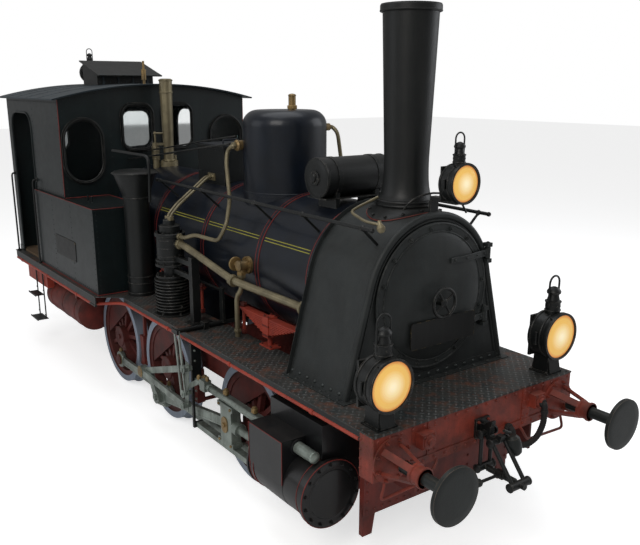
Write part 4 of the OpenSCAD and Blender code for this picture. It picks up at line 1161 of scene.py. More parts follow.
@dataclass
class DoorSkin:
    """The smokebox door: a bolted ring, a shallow dish, straps and a handwheel."""

    shop: Workshop
    x: float = 3.136
    z: float = 1.928
    hinge_y: float = 0.572
    straps: tuple[float, ...] = (1.678, 2.198)
    wheel_z: float = 1.902

    def plate(self) -> Surface:
        """Turn the door's section: flat ring, a step, and a dish that flattens."""
        profile = [
            (0.0, 0.0), (0.0, 0.556), (0.004, 0.56), (0.017, 0.56), (0.022, 0.554), (0.022, 0.500),
            (0.026, 0.494), (0.037, 0.462), (0.047, 0.42), (0.056, 0.36), (0.0625, 0.29),
            (0.067, 0.2), (0.0695, 0.1), (0.070, 0.0),
        ]
        return lathe(profile, (self.x, 0, self.z), (1, 0, 0), 96)

    def strap(self, z: float) -> Surface:
        """Carry a flat strap from the hinge over the dish, tapering to its end."""
        path = np.array([
            (self.x + 0.030, self.hinge_y, z), (self.x + 0.030, 0.50, z), (self.x + 0.042, 0.44, z),
            (self.x + 0.056, 0.36, z), (self.x + 0.065, 0.28, z), (self.x + 0.069, 0.2, z),
            (self.x + 0.070, 0.12, z),
        ])
        return sweep(path, rounded(0.016, 0.058, 0.005), radii=np.linspace(1.0, 0.72, 7))

    def build(self) -> None:
        """Add the door, with its bolts and fittings, on the hinge."""
        parts = [self.plate()]
        centre = (self.x + 0.022, 0, self.z)
        parts.append(
            studs(around(centre, (1, 0, 0), 0.528, 16, 0.11), (1, 0, 0), 0.0165, Head.STUD, 0.8)
        )
        parts.append(ring((self.x + 0.024, 0, self.z), (1, 0, 0), 0.502, 0.006, 96))
        parts.append(ring((self.x + 0.016, 0, self.z), (1, 0, 0), 0.560, 0.011, 96))
        for z in self.straps:
            parts.append(self.strap(z))
            knuckle = [(-0.044, 0.0), (-0.044, 0.02), (-0.04, 0.024), (0.04, 0.024), (0.044, 0.02),
                       (0.044, 0.0)]
            parts.append(lathe(knuckle, (self.x + 0.026, self.hinge_y, z), sides=24))
            pin = [(-0.084, 0.0), (-0.084, 0.013), (0.086, 0.013), (0.09, 0.008), (0.09, 0.0)]
            parts.append(lathe(pin, (self.x + 0.026, self.hinge_y, z), sides=16))
            row = [(self.x + 0.04, 0.53, z), (self.x + 0.052, 0.43, z), (self.x + 0.0735, 0.29, z),
                   (self.x + 0.078, 0.16, z)]
            parts.append(studs(row, (1, 0.1, 0), 0.011))
        self.shop.piece(
            "smokebox_door_skin", parts, Finishes.SMOKEBOX, "smokebox_black", "smokebox_door",
            ("smokebox_door",),
        )
        hub = [(0.0, 0.05), (0.006, 0.052), (0.012, 0.03), (0.05, 0.022), (0.064, 0.022),
               (0.068, 0.034), (0.088, 0.034), (0.094, 0.02), (0.1, 0.0)]
        wheel_x = self.x + 0.139
        rim_at = (wheel_x, 0, self.wheel_z)
        parts = [lathe(hub, (self.x + 0.052, 0, self.wheel_z), (1, 0, 0), 28)]
        parts.append(ring(rim_at, (1, 0, 0), 0.112, 0.0125, 48))
        for start, end in zip(
            around(rim_at, (1, 0, 0), 0.022, 4, 0.6), around(rim_at, (1, 0, 0), 0.110, 4, 0.6)
        ):
            parts.append(tube([start, end], 0.009, 10))
        plate = prism(
            np.stack(
                (np.full(28, self.x + 0.078), *(rounded(0.68, 0.21, 0.02).T + [[0.06], [1.665]])),
                -1
            ),
            (0.008, 0, 0),
        )
        feet = studs(
            [(self.x + 0.055, y, 1.665) for y in (-0.2, 0.3)], (1, 0, 0), 0.02, Head.BOLT, 1.2
        )
        self.shop.piece(
            "door_plate", [plate, feet], Finishes.PLATE, "smokebox_black", "smokebox_door"
        )
        self.shop.piece(
            "door_handwheel", parts, Finishes.BLACK_IRON, "smokebox_black", "smokebox_door"
        )


@dataclass
class ChimneyTrim:
    """The flared foot of the chimney with its bolts, and the beads round it."""

    shop: Workshop
    x: float = 2.805
    axis_z: float = 1.928
    smokebox: float = 0.6325
    inner: float = 0.206
    outer: float = 0.292

    def build(self) -> None:
        """Spread the foot: out(t), with height falling to the smokebox's own curve."""
        turn = np.linspace(0, tau, 72, endpoint=False)[None, :]
        t = np.linspace(0, 1, 9)[:, None]
        out = self.inner + (self.outer - self.inner) * t
        out = np.concatenate((out, out[-1:]))
        seat = self.axis_z + np.sqrt(self.smokebox**2 - (out * np.sin(turn)) ** 2)
        rise = np.concatenate(((1 - t) ** 2.1, [[0.0]]))
        lip = np.concatenate((np.full((9, 1), 0.014), [[-0.004]]))
        z = seat + lip + (2.602 - seat - lip) * rise
        points = np.stack((self.x + out * np.cos(turn), out * np.sin(turn), z), -1)
        foot = grid(points, wrap=True)
        bolts = np.arange(12) * tau / 12 + 0.26
        near = self.outer - 0.022
        level = self.axis_z + np.sqrt(self.smokebox**2 - (near * np.sin(bolts)) ** 2) + 0.017
        places = np.stack((self.x + near * np.cos(bolts), near * np.sin(bolts), level), -1)
        normal = np.stack((0 * bolts, near * np.sin(bolts), level - self.axis_z), -1)
        parts = [foot, studs(places, normal, 0.014, Head.BOLT)]
        for z_at, radius, thick in (
            (2.601, 0.220, 0.010), (2.629, 0.2215, 0.010), (4.001, 0.2215, 0.008)
        ):
            parts.append(ring((self.x, 0, z_at), (0, 0, 1), radius, thick, 72))
        lip_ring = lathe(
            [(0.0, 0.2225), (0.006, 0.2265), (0.038, 0.2265), (0.044, 0.222), (0.045, 0.145),
             (0.02, 0.143)],
            (self.x, 0, 4.0), sides=72,
        )
        parts.append(lip_ring)
        flare = [(0.04, 0.214), (0.055, 0.201), (0.085, 0.190), (0.13, 0.1805), (0.19, 0.1745),
                 (0.26, 0.1715), (0.34, 0.1712)]
        parts.append(lathe(flare, (self.x, 0, 2.601), sides=72))
        self.shop.piece("chimney_trim", parts, Finishes.CHIMNEY, "chimney_black")
        rim = np.stack(
            (self.x + (self.outer + 0.002) * np.cos(turn[0]),
            (self.outer + 0.002) * np.sin(turn[0]),
             seat[-1] + 0.006), -1
        )
        edge = sweep(rim, circle(0.004, 8), closed=True)
        self.shop.piece("chimney_foot_edge", [edge], Finishes.FRAME_RED, "beam_red")


@dataclass
class Lamp:
    """Sizes and place of one lamp; forward says which way it shines."""

    x: float
    y: float
    z: float
    radius: float
    forward: float = 1.0

    def point(self, along: float, side: float, up: float) -> tuple[float, float, float]:
        """Turn distances from the lamp's face, in lamp sizes, into a place."""
        return (self.x + self.forward * along, self.y + side, self.z + up)


@dataclass
class LampTrim:
    """Rims, caps, lifting loops, latches and lit lenses of the four lamps."""

    shop: Workshop
    lamps: tuple[Lamp, ...] = (
        Lamp(3.696, -0.878, 1.578, 0.174),
        Lamp(3.696, 0.878, 1.578, 0.174),
        Lamp(3.428, 0.0, 2.808, 0.131),
        Lamp(-3.890, 0.0, 3.650, 0.122, -1.0),
    )

    def body(self, lamp: Lamp) -> list[Surface]:
        """Make the metal fittings of one lamp."""
        k, r, way = lamp.radius / 0.174, lamp.radius, (lamp.forward, 0, 0)
        face = lamp.point(0, 0, 0)
        parts = [
            lathe(
                [(-0.044, r + 0.002), (-0.042, r + 0.014), (-0.036, r + 0.0175),
                (-0.008, r + 0.0175),
                 (0.0, r + 0.014), (0.001, r + 0.004), (-0.004, r - 0.001), (-0.016, r - 0.002)],
                face, way, 64,
            )
        ]
        for back in (0.075, 0.165):
            parts.append(ring(lamp.point(-back * k, 0, 0), way, r + 0.003, 0.007 * k, 56))
        parts.append(
            studs(around(lamp.point(-0.025, 0, 0), way, r + 0.022, 1, 2.2), (0, 0.8, 0.6), 0.012)
        )
        top = lamp.point(-0.105 * k, 0, r - 0.010)
        parts.append(
            lathe(
                [(0.095 * k, 0.058 * k), (0.100 * k, 0.064 * k), (0.108 * k, 0.064 * k),
                 (0.114 * k, 0.05 * k), (0.165 * k, 0.037 * k), (0.168 * k, 0.052 * k),
                 (0.182 * k, 0.056 * k), (0.196 * k, 0.05 * k), (0.212 * k, 0.034 * k),
                 (0.222 * k, 0.014 * k), (0.224 * k, 0.0)],
                top, sides=32,
            )
        )
        parts.append(
            ring((top[0], top[1], top[2] + 0.035 * k), (0, 0, 1), 0.0585 * k, 0.006 * k, 32)
        )
        holes = around((top[0], top[1], top[2] + 0.07 * k), (0, 0, 1), 0.058 * k, 10)
        out = holes - (top[0], top[1], top[2] + 0.07 * k)
        parts.append(studs(holes, out, 0.007 * k, Head.BOLT, 0.4))
        side = lamp.point(-0.10 * k, -(r + 0.012), 0.0)
        hinge = [(-0.05 * k, 0.0), (-0.05 * k, 0.010), (0.05 * k, 0.010), (0.05 * k, 0.0)]
        parts.append(lathe(hinge, side, sides=12))
        for y in (-0.72, 0.72):
            low, high = lamp.point(
                -0.207 * k, y * r, -r * 0.85
            ), lamp.point(-0.207 * k, y * r, r * 0.75)
            parts.append(studs(line(low, high, 0.07 * k), (-lamp.forward, 0, 0), 0.007))
        return parts

    def lens(self, lamp: Lamp) -> Surface:
        """Dome a lens: depth * (1 - (out / radius) squared)."""
        out = np.linspace(lamp.radius - 0.001, 0.0, 12)
        depth = 0.016 * (1 - (out / lamp.radius) ** 2) - 0.012
        return lathe(np.stack((depth, out), -1), lamp.point(0, 0, 0), (lamp.forward, 0, 0), 48)

    def build(self) -> None:
        """Add the fittings and the lenses."""
        metal = [part for lamp in self.lamps for part in self.body(lamp)]
        for lamp in self.lamps[:2]:
            base = [(lamp.x - 0.215, lamp.y - 0.062, FOOT_PLATE_TOP),
                    (lamp.x - 0.03, lamp.y - 0.062, FOOT_PLATE_TOP),
                    (lamp.x - 0.062, lamp.y - 0.062, 1.42), (lamp.x - 0.185, lamp.y - 0.062, 1.42)]
            metal.append(prism(base, (0, 0.124, 0)))
            feet = [
                (lamp.x + dx, lamp.y + dy, FOOT_PLATE_TOP) for dx in (-0.2, -0.055)
                for dy in (-0.075, 0.075)
            ]
            metal.append(studs(feet, (0, 0, 1), 0.011, Head.BOLT))
        self.shop.piece("lamp_fittings", metal, Finishes.BLACK_IRON, "black_iron")
        lenses = [self.lens(lamp) for lamp in self.lamps]
        piece = self.shop.piece(
            "lamp_lenses", lenses, Finishes.LENS, "lens", replaces=("lamp_glasses",)
        )
        count = len(piece.data.vertices)
        places = np.empty(count * 3)
        piece.data.vertices.foreach_get("co", places)
        places = places.reshape(-1, 3)
        glow = np.full(count, 9.0)
        for lamp in self.lamps:
            out = np.hypot(places[:, 1] - lamp.y, places[:, 2] - lamp.z) / lamp.radius
            near = np.abs(places[:, 0] - lamp.x) < 0.1
            glow = np.where(near, np.minimum(glow, out), glow)
        piece.data.attributes.new("glow", "FLOAT", "POINT").data.foreach_set("value", glow)


@dataclass
class BeamTrim:
    """Plates, rivets and bolts of the two buffer beams and their buffers."""

    shop: Workshop
    x: float = 3.6955
    half: float = 1.036
    low: float = 0.925
    high: float = 1.25
    buffer_y: float = 0.875
    buffer_z: float = 1.059

    def plates(self) -> list[Surface]:
        """Lay the lower strip, the seam covers and the end plates."""
        x = self.x
        parts = [block((x - 0.001, -1.034, 0.927), (x + 0.007, 1.034, 0.992))]
        for y in (-0.50, 0.50):
            parts.append(block((x - 0.001, y - 0.045, 0.992), (x + 0.005, y + 0.045, 1.247)))
        for side in SIDES:
            y0, y1 = sorted((side * 0.70, side * 1.034))
            parts.append(block((x - 0.001, y0, 0.992), (x + 0.004, y1, 1.247)))
        return parts

    def fasteners(self) -> list[Surface]:
        """Set the rows of rivets and the bolts."""
        x = self.x + 0.007
        parts = [studs(line((x, -1.0, 0.96), (x, 1.0, 0.96), 0.105), (1, 0, 0), 0.0145)]
        upper = line((self.x, -1.0, 1.222), (self.x, 1.0, 1.222), 0.105)
        parts.append(studs(upper + (0.004, 0, 0), (1, 0, 0), 0.0115))
        for y in (-0.525, -0.475, 0.475, 0.525):
            parts.append(
                studs(
                    line((self.x + 0.005, y, 1.02), (self.x + 0.005, y, 1.2), 0.06), (1, 0, 0),
                    0.009
                )
            )
        for side in SIDES:
            centre = (self.x + 0.018, side * self.buffer_y, self.buffer_z)
            parts.append(
                studs(around(centre, (1, 0, 0), 0.145, 8, 0.39), (1, 0, 0), 0.014, Head.STUD)
            )
            socket = (self.x + 0.07, side * 0.59, 1.135)
            cover = [
                (0.0, 0.05), (0.006, 0.05), (0.01, 0.044), (0.012, 0.03), (0.03, 0.028),
                (0.032, 0.0)
            ]
            parts.append(lathe(cover, socket, (1, 0, 0), 28))
            corners = [
                (self.x + 0.07, side * 0.59 + a, 1.135 + b) for a in (-0.048, 0.048)
                for b in (-0.042, 0.042)
            ]
            parts.append(studs(corners, (1, 0, 0), 0.008, Head.BOLT))
            edge = line(
                (self.x - 0.13, side * self.half, 0.99), (self.x - 0.13, side * self.half, 1.2),
                0.07
            )
            parts.append(studs(edge, (0, side, 0), 0.011))
        corners = [
            (self.x + 0.022, y, self.buffer_z + z) for y in (-0.052, 0.052) for z in (-0.055, 0.055)
        ]
        parts.append(studs(corners, (1, 0, 0), 0.012, Head.STUD))
        return parts

    def buffers(self) -> list[Surface]:
        """Turn the collars of the housings."""
        parts = []
        for side in SIDES:
            at = (self.x, side * self.buffer_y, self.buffer_z)
            collar = [
                (0.228, 0.05), (0.228, 0.066), (0.234, 0.074), (0.254, 0.074), (0.260, 0.067),
                (0.306, 0.067), (0.310, 0.074), (0.326, 0.074), (0.330, 0.068), (0.330, 0.046),
            ]
            parts.append(lathe(collar, at, (1, 0, 0), 40))
        return parts

    def build(self) -> None:
        """Add everything at both ends."""
        shop = self.shop
        pieces = self.plates() + self.fasteners() + self.buffers()
        shop.piece("beam_trim", [ends(p) for p in pieces], Finishes.BEAM_RED, "beam_red")
        discs = []
        for side in SIDES:
            at = (self.x, side * self.buffer_y, self.buffer_z)
            back = [
                (0.528, 0.045), (0.534, 0.07), (0.55, 0.085), (0.562, 0.12), (0.571, 0.165),
                (0.573, 0.19)
            ]
            face = [
                (0.586, 0.1965), (0.598, 0.1945), (0.6012, 0.187), (0.6022, 0.14), (0.603, 0.07),
                (0.603, 0.0)
            ]
            discs += [lathe(back, at, (1, 0, 0), 72), lathe(face, at, (1, 0, 0), 72)]
        shop.piece("buffer_disc_skins", [ends(p) for p in discs], Finishes.DISC, "black_iron")
        rod = tube(
            [(3.66, 0.44, 0.96), (3.71, 0.445, 0.93), (3.71, 0.535, 0.805), (3.71, 0.975, 0.787),
             (3.71, 0.935, 0.905), (3.66, 0.93, 0.96)], 0.011, 10, 0.04,
        )
        shop.piece("shunting_rods", [ends(rod.both())], Finishes.BEAM_RED, "beam_red")


@dataclass
class CouplingTrim:
    """Knobs, nuts and the weight of the screw couplings."""

    shop: Workshop
    x: float = 3.6955
    z: float = 1.059

    def build(self) -> None:
        """Add the pin ends, the screw's thread and the lever's weight."""
        parts = []
        for at, half in (((self.x + 0.17, 0, self.z - 0.05), 0.078),
                         ((self.x + 0.062, 0, self.z - 0.02), 0.07),
                         ((self.x + 0.062, 0, self.z - 0.292), 0.074),
                             ((self.x + 0.38, 0, self.z - 0.302), 0.088)):
            for side in SIDES:
                knob = [(0.0, 0.03), (0.006, 0.034), (0.014, 0.034), (0.02, 0.024), (0.022, 0.0)]
                parts.append(lathe(knob, (at[0], side * half, at[2]), (0, side, 0), 20))
        turns = np.linspace(0, 26 * tau, 26 * 14)
        thread_x = self.x + 0.09 + (turns / turns[-1]) * 0.26
        thread = np.stack(
            (thread_x, 0.0225 * np.cos(turns), self.z - 0.297 + 0.0225 * np.sin(turns)), -1
        )
        parts.append(sweep(thread, circle(0.003, 5)))
        boss = [(-0.03, 0.02), (-0.028, 0.034), (0.028, 0.034), (0.03, 0.02)]
        parts.append(lathe(boss, (self.x + 0.21, 0, self.z - 0.297), (1, 0, 0), 24))
        self.shop.piece(
            "coupling_trim", [ends(p) for p in parts], Finishes.BLACK_IRON, "black_iron"
        )
        weight = [(0.0, 0.0), (0.004, 0.03), (0.02, 0.048), (0.06, 0.056), (0.1, 0.056),
                  (0.14, 0.048),
                  (0.158, 0.03), (0.162, 0.0)]
        bob = lathe(weight, (self.x + 0.205, 0.105, self.z - 0.02), (0.15, 0.2, -1.0), 28)
        ball = lathe(
            [
                (-0.032, 0.0), (-0.028, 0.015), (-0.016, 0.028), (0.0, 0.032), (0.016, 0.028),
                (0.028, 0.015), (0.032, 0.0)
            ],
            (self.x + 0.16, -0.17, self.z - 0.335), sides=24,
        )
        arm = tube(
            [(self.x + 0.20, 0.09, self.z - 0.0), (self.x + 0.19, 0.03, self.z + 0.03)], 0.012
        )
        self.shop.piece(
            "coupling_weight", [ends(p) for p in (bob, ball, arm)], Finishes.DISC, "black_iron"
        )


# ---------------------------------------------------------------- pipes and fittings


def collar(at: Any, axis: Any, radius: float, half: float, sides: int = 6) -> Surface:
    """Make a union nut or a round collar, centred on a place."""
    profile = [
        (-half, radius * 0.6), (-half, radius * 0.94), (-half * 0.8, radius), (half * 0.8, radius),
        (half, radius * 0.94), (half, radius * 0.6),
    ]
    return lathe(profile, at, axis, sides)


def knob(at: Any, radius: float, sides: int = 16) -> Surface:
    """Make a ball: radius * (sin, cos) of the height's angle."""
    angle = np.linspace(-pi / 2, pi / 2, 9)
    profile = np.stack((radius * np.sin(angle), radius * np.cos(angle)), -1)
    return lathe(profile, at, sides=sides)


@dataclass
class Piping:
    """Steam and feed pipes, hoses and handrails, each a smooth bent tube."""

    shop: Workshop
    exhaust: tuple[Any, ...] = (
        (0.4903, -0.82, 1.989), (0.62, -0.82, 1.989), (1.446, -0.768, 1.81), (2.24, -0.655, 1.757),
        (2.398, -0.655, 1.757),
    )
    steam: tuple[Any, ...] = (
        (0.96, -0.42, 2.944), (0.96, -0.464, 2.944), (0.872, -0.466, 2.89), (0.925, -0.51, 2.79),
        (1.11, -0.588, 2.471), (1.215, -0.69, 2.27), (1.11, -0.722, 2.104), (0.762, -0.78, 2.116),
        (0.6, -0.815, 2.062), (0.4903, -0.815, 2.062),
    )
    feed: tuple[Any, ...] = (
        (CLACK_X, CLACK_Y, 1.862), (CLACK_X, CLACK_Y, 1.72), (1.385, 0.70, 1.64),
        (1.385, 0.70, 1.2603),
    )
    left: tuple[Any, ...] = (
        (1.29, 0.40, 3.101), (1.29, 0.44, 3.101), (1.35, 0.458, 3.05), (1.335, 0.52, 2.76),
        (1.335, 0.596, 2.44), (1.345, 0.69, 2.20), (CLACK_X, CLACK_Y, 2.12),
        (CLACK_X, CLACK_Y, 2.018),
    )
    hose: tuple[Any, ...] = (
        (3.7655, 0.59, 1.125), (3.8075, 0.59, 1.125), (3.8075, 0.59, 0.96), (3.7905, 0.545, 0.85),
        (3.7805, 0.43, 0.812), (3.7755, 0.33, 0.85), (3.7615, 0.29, 0.93), (3.7555, 0.29, 0.978),
        (3.6958, 0.29, 0.978),
    )
    stanchions: tuple[float, ...] = (-0.23, 0.65, 1.59, 2.29, 3.02)

    def rail(self, x: float) -> Points:
        """Return the handrail's place at a distance along it."""
        t = (x + 0.285) / 3.395
        return np.array((x, 0.655 - 0.053 * t, 2.524 - 0.028 * t))

    def pipes(self) -> None:
        """Add the steam, exhaust and feed pipes with their unions."""
        parts = [
            tube(self.exhaust, 0.034, 18, 0.09), tube(self.steam, 0.019, 14, 0.06),
            tube(self.feed, 0.024, 14, 0.06).both(), tube(self.left, 0.019, 14, 0.06),
            collar((0.515, -0.82, 1.989), (1, 0, 0), 0.05, 0.022),
            collar((0.51, -0.815, 2.062), (1, 0, 0), 0.033, 0.018),
            collar((1.43, -0.769, 1.8135), (0.82, 0.05, -0.18), 0.052, 0.012, 24),
            collar((1.455, -0.767, 1.808), (0.82, 0.05, -0.06), 0.052, 0.012, 24),
            collar((2.372, -0.655, 1.757), (1, 0, 0), 0.062, 0.014, 24),
            collar((0.96, -0.445, 2.944), (0, 1, 0), 0.034, 0.016),
            collar((CLACK_X, -CLACK_Y, 1.845), (0, 0, 1), 0.042, 0.018),
            collar((CLACK_X, CLACK_Y, 1.845), (0, 0, 1), 0.042, 0.018),
            collar((1.385, -0.70, 1.32), (0, 0, 1), 0.036, 0.016),
            collar((1.385, 0.70, 1.32), (0, 0, 1), 0.036, 0.016),
            collar((CLACK_X, CLACK_Y, 2.04), (0, 0, 1), 0.034, 0.016),
            collar((1.335, 0.545, 2.66), (0, 0.24, -1), 0.028, 0.016),
        ]
        self.shop.piece("pipes", parts, Finishes.PIPE, "brass", replaces=("steam_pipes",))
        wrapped = bend(
            [(0.108, -0.242, 2.571), (0.11, -0.30, 2.571), (0.25, -0.72, 2.33),
            (0.318, -0.84, 2.25),
             (0.318, -0.84, 2.19)], 0.05, 8,
        )
        path, _ = resample(wrapped, 0.012)
        lagged = [sweep(path + (dx, 0.0, 0.0), circle(0.0145, 12)) for dx in (0.0, 0.06)]
        lagged.append(block((0.07, -0.252, 2.535), (0.21, -0.238, 2.607)))
        lagged += [collar(path[-4] + (dx, 0, 0), (0, 0, 1), 0.034, 0.018) for dx in (0.0, 0.06)]
        lagged += [collar(path[1] + (dx, 0, 0), (0, 1, 0), 0.026, 0.010) for dx in (0.0, 0.06)]
        self.shop.piece("twin_pipes", lagged, Finishes.PIPE, "brass")

    def hoses(self) -> None:
        """Add the brake hose at each end, with its couplings and clips."""
        path = resample(bend(self.hose, 0.05, 8), 0.006)[0]
        wave = 1.0 + 0.05 * np.sin(np.arange(len(path)) * tau / 3)
        parts = [sweep(path, circle(0.0235, 14), radii=wave)]
        parts.append(collar((3.785, 0.59, 1.125), (1, 0, 0), 0.034, 0.016))
        parts.append(collar((3.8075, 0.59, 1.06), (0, 0, 1), 0.029, 0.012, 20))
        parts.append(collar((3.72, 0.29, 0.978), (1, 0, 0), 0.034, 0.018))
        self.shop.piece("hoses", [ends(p) for p in parts], Finishes.RUBBER, "hose_black",
                        replaces=("brake_hoses",))

    def rails(self) -> None:
        """Add the boiler handrails on their knobs and the handles at the doorways."""
        parts = [tube([self.rail(-0.30), self.rail(3.125)], 0.0145, 14)]
        for x in (-0.30, 3.125):
            parts.append(knob(self.rail(x), 0.019))
        for x in self.stanchions:
            top = self.rail(x)
            foot = np.array((x, 0.0, 1.928)) + (top - (x, 0.0, 1.928)) * (0.612 / 0.9)
            out = (top - foot) / np.linalg.norm(top - foot)
            length = float(np.linalg.norm(top - foot))
            post = [(0.0, 0.03), (0.006, 0.03), (0.012, 0.016), (0.03, 0.0115),
                    (length - 0.03, 0.0105),
                    (length - 0.012, 0.017), (length, 0.023), (length + 0.012, 0.019),
                    (length + 0.02, 0.0)]
            parts.append(lathe(post, foot, out, 16))
        for x in (-2.695, -3.65):
            parts.append(
                tube([(x, 1.262, 1.262), (x, 1.262, 2.33), (x, 1.202, 2.33)], 0.012, 12, 0.045)
            )
            parts.append(collar((x, 1.262, 1.272), (0, 0, 1), 0.026, 0.010, 20))
            parts.append(collar((x, 1.211, 2.33), (0, 1, 0), 0.026, 0.005, 20))
        both = pairs(parts)
        self.shop.piece("rails", both, Finishes.BLACK_IRON, "black_iron", replaces=("handrails",))
        rods = [
            tube([(-1.655, -0.40, 2.62), (0.90, -0.455, 2.955)], 0.010, 10),
            tube([(-1.655, -0.21, 2.70), (0.1, -0.30, 2.93), (0.85, -0.36, 3.02)], 0.008, 10, 0.1),
            tube(
                [
                    (-0.86, -0.90, 2.802), (-0.29, -0.75, 2.772), (-0.275, -0.75, 2.60),
                    (-0.275, -0.76, 2.30)
                ],
                0.016, 12, 0.06
            ),
        ]
        self.shop.piece("control_rods", rods, Finishes.BLACK_IRON, "black_iron")

    def build(self) -> None:
        """Add the pipes, the hoses and the rails."""
        self.pipes()
        self.hoses()
        self.rails()


@dataclass
class BoilerFittings:
    """Small parts of the pump, reservoir, valves, fillers and sandbox."""

    shop: Workshop
    pump: tuple[float, float] = (0.34, -0.84)
    reservoir: tuple[float, float] = (2.110, 2.748)
    filler: tuple[float, float] = (-0.528, 0.804)

    def pump_parts(self) -> list[Surface]:
        """Make the pump's flanges, fins' edges, studs and cap."""
        x, y = self.pump
        parts = []
        for z0, z1, out in (
            (1.64, 1.662, 0.155), (1.752, 1.778, 0.155), (1.80, 1.822, 0.150), (2.05, 2.086, 0.15)
        ):
            parts.append(
                lathe(
                    [
                        (z0, 0.07), (z0, out - 0.004), (z0 + 0.004, out), (z1 - 0.004, out),
                        (z1, out - 0.004), (z1, 0.07)
                    ],
                    (x, y, 0), sides=48
                )
            )
            parts.append(
                studs(around((x, y, z1), (0, 0, 1), out - 0.018, 10), (0, 0, 1), 0.0095, Head.STUD)
            )
        cap = [(2.14, 0.102), (2.152, 0.104), (2.158, 0.09), (2.162, 0.06), (2.205, 0.06),
               (2.212, 0.05),
               (2.222, 0.03), (2.226, 0.0)]
        parts.append(lathe(cap, (x, y, 0), sides=36))
        for i in range(11):
            parts.append(ring((x, y, 1.307 + 0.031 * i), (0, 0, 1), 0.166, 0.0072, 56))
        for z in (1.86, 1.94, 2.02):
            parts.append(ring((x, y, z), (0, 0, 1), 0.1345, 0.004, 48))
        for z in (1.35, 1.55, 1.75, 1.88):
            parts.append(studs([(0.4925, y + 0.018, z)], (1, 0, 0), 0.013, Head.STUD))
        base = around((x, y, 1.2625), (0, 0, 1), 0.17, 6, 0.5)
        parts.append(
            lathe(
                [(BOARD_TOP, 0.19), (1.272, 0.19), (FOOT_PLATE_TOP, 0.186), (FOOT_PLATE_TOP, 0.12)],
                (x, y, 0), sides=40
            )
        )
        parts.append(studs(base + (0, 0, 0.0115), (0, 0, 1), 0.012, Head.STUD))
        return parts

    def reservoir_parts(self) -> list[Surface]:
        """Make the reservoir's straps, dished ends and bosses."""
        x, z = self.reservoir
        parts = []
        for y in (-0.21, 0.21):
            hoop = [(y - 0.022, 0.162), (y - 0.022, 0.168), (y + 0.022, 0.168), (y + 0.022, 0.162)]
            parts.append(lathe(hoop, (x, 0, z), (0, 1, 0), 64))
        parts.append(block((x - 0.13, -0.34, z - 0.170), (x + 0.13, 0.30, z - 0.160)))
        for side in SIDES:
            dish = [(0.318, 0.163), (0.322, 0.1665), (0.334, 0.1665), (0.342, 0.160), (0.350, 0.14),
                    (0.355, 0.11), (0.357, 0.07), (0.357, 0.062), (0.366, 0.062), (0.37, 0.056),
                    (0.37, 0.034), (0.383, 0.03), (0.386, 0.0)]
            parts.append(lathe(dish, (x, 0, z), (0, side, 0), 64))
            parts.append(
                studs(
                    around((x, side * 0.368, z), (0, side, 0), 0.045, 6), (0, side, 0), 0.007,
                    Head.BOLT
                )
            )
        return parts

    def filler_parts(self) -> list[Surface]:
        """Make the water fillers' rims, rings and lids."""
        x, y = self.filler
        parts = []
        for z, out, thick in (
            (2.588, 0.234, 0.010), (2.328, 0.139, 0.008), (1.40, 0.139, 0.007),
            (1.47, 0.139, 0.007), (1.292, 0.142, 0.008)
        ):
            parts.append(ring((x, y, z), (0, 0, 1), out, thick, 64))
        lid = [(2.594, 0.228), (2.602, 0.222), (2.612, 0.19), (2.618, 0.12), (2.62, 0.0)]
        parts.append(lathe(lid, (x, y, 0), sides=56))
        return pairs(parts)

    def other_parts(self) -> list[Surface]:
        """Make the sandbox's lid, its handle and its rivets."""
        parts = [block((-0.166, -0.246, 2.889), (0.406, 0.246, 2.898))]
        parts.append(
            tube(
                [
                    (0.12, -0.09, 2.896), (0.12, -0.09, 2.935), (0.12, 0.09, 2.935),
                    (0.12, 0.09, 2.896)
                ],
                0.009, 10, 0.025
            )
        )
        for y in (-0.24, 0.24):
            for z in (2.845, 2.62):
                parts.append(
                    studs(line((-0.14, y, z), (0.38, y, z), 0.065), (0, np.sign(y), 0), 0.007)
                )
        for x in (-0.16, 0.40):
            parts.append(
                studs(line((x, -0.22, 2.845), (x, 0.22, 2.845), 0.065), (np.sign(x), 0, 0), 0.007)
            )
        return parts

    def safety_parts(self) -> list[Surface]:
        """Make the rings of the valve column and its spring balance."""
        x = -1.375
        parts = []
        for z, out in ((2.612, 0.076), (3.40, 0.078), (3.536, 0.08)):
            parts.append(ring((x, 0, z), (0, 0, 1), out - 0.006, 0.010, 40))
        parts.append(
            lathe([(3.545, 0.07), (3.552, 0.066), (3.556, 0.05), (3.556, 0.0)], (x, 0, 0), sides=36)
        )
        turns = np.linspace(0, 9 * tau, 9 * 14)
        coil = np.stack(
            (
                x - 0.04 + 0.045 * np.cos(turns), -0.15 + 0.045 * np.sin(turns),
                2.62 + 0.018 * turns / tau
            ),
            -1
        )
        parts.append(sweep(coil, circle(0.006, 6)))
        parts.append(tube([(x - 0.04, -0.15, 2.8), (x - 0.04, -0.15, 2.95)], 0.012, 12))
        parts.append(tube([(x - 0.04, -0.17, 2.93), (x + 0.02, 0.0, 2.93)], 0.011, 10))
        parts.append(studs(around((x, 0, 2.60), (0, 0, 1), 0.09, 6), (0, 0, 1), 0.011, Head.BOLT))
        return parts

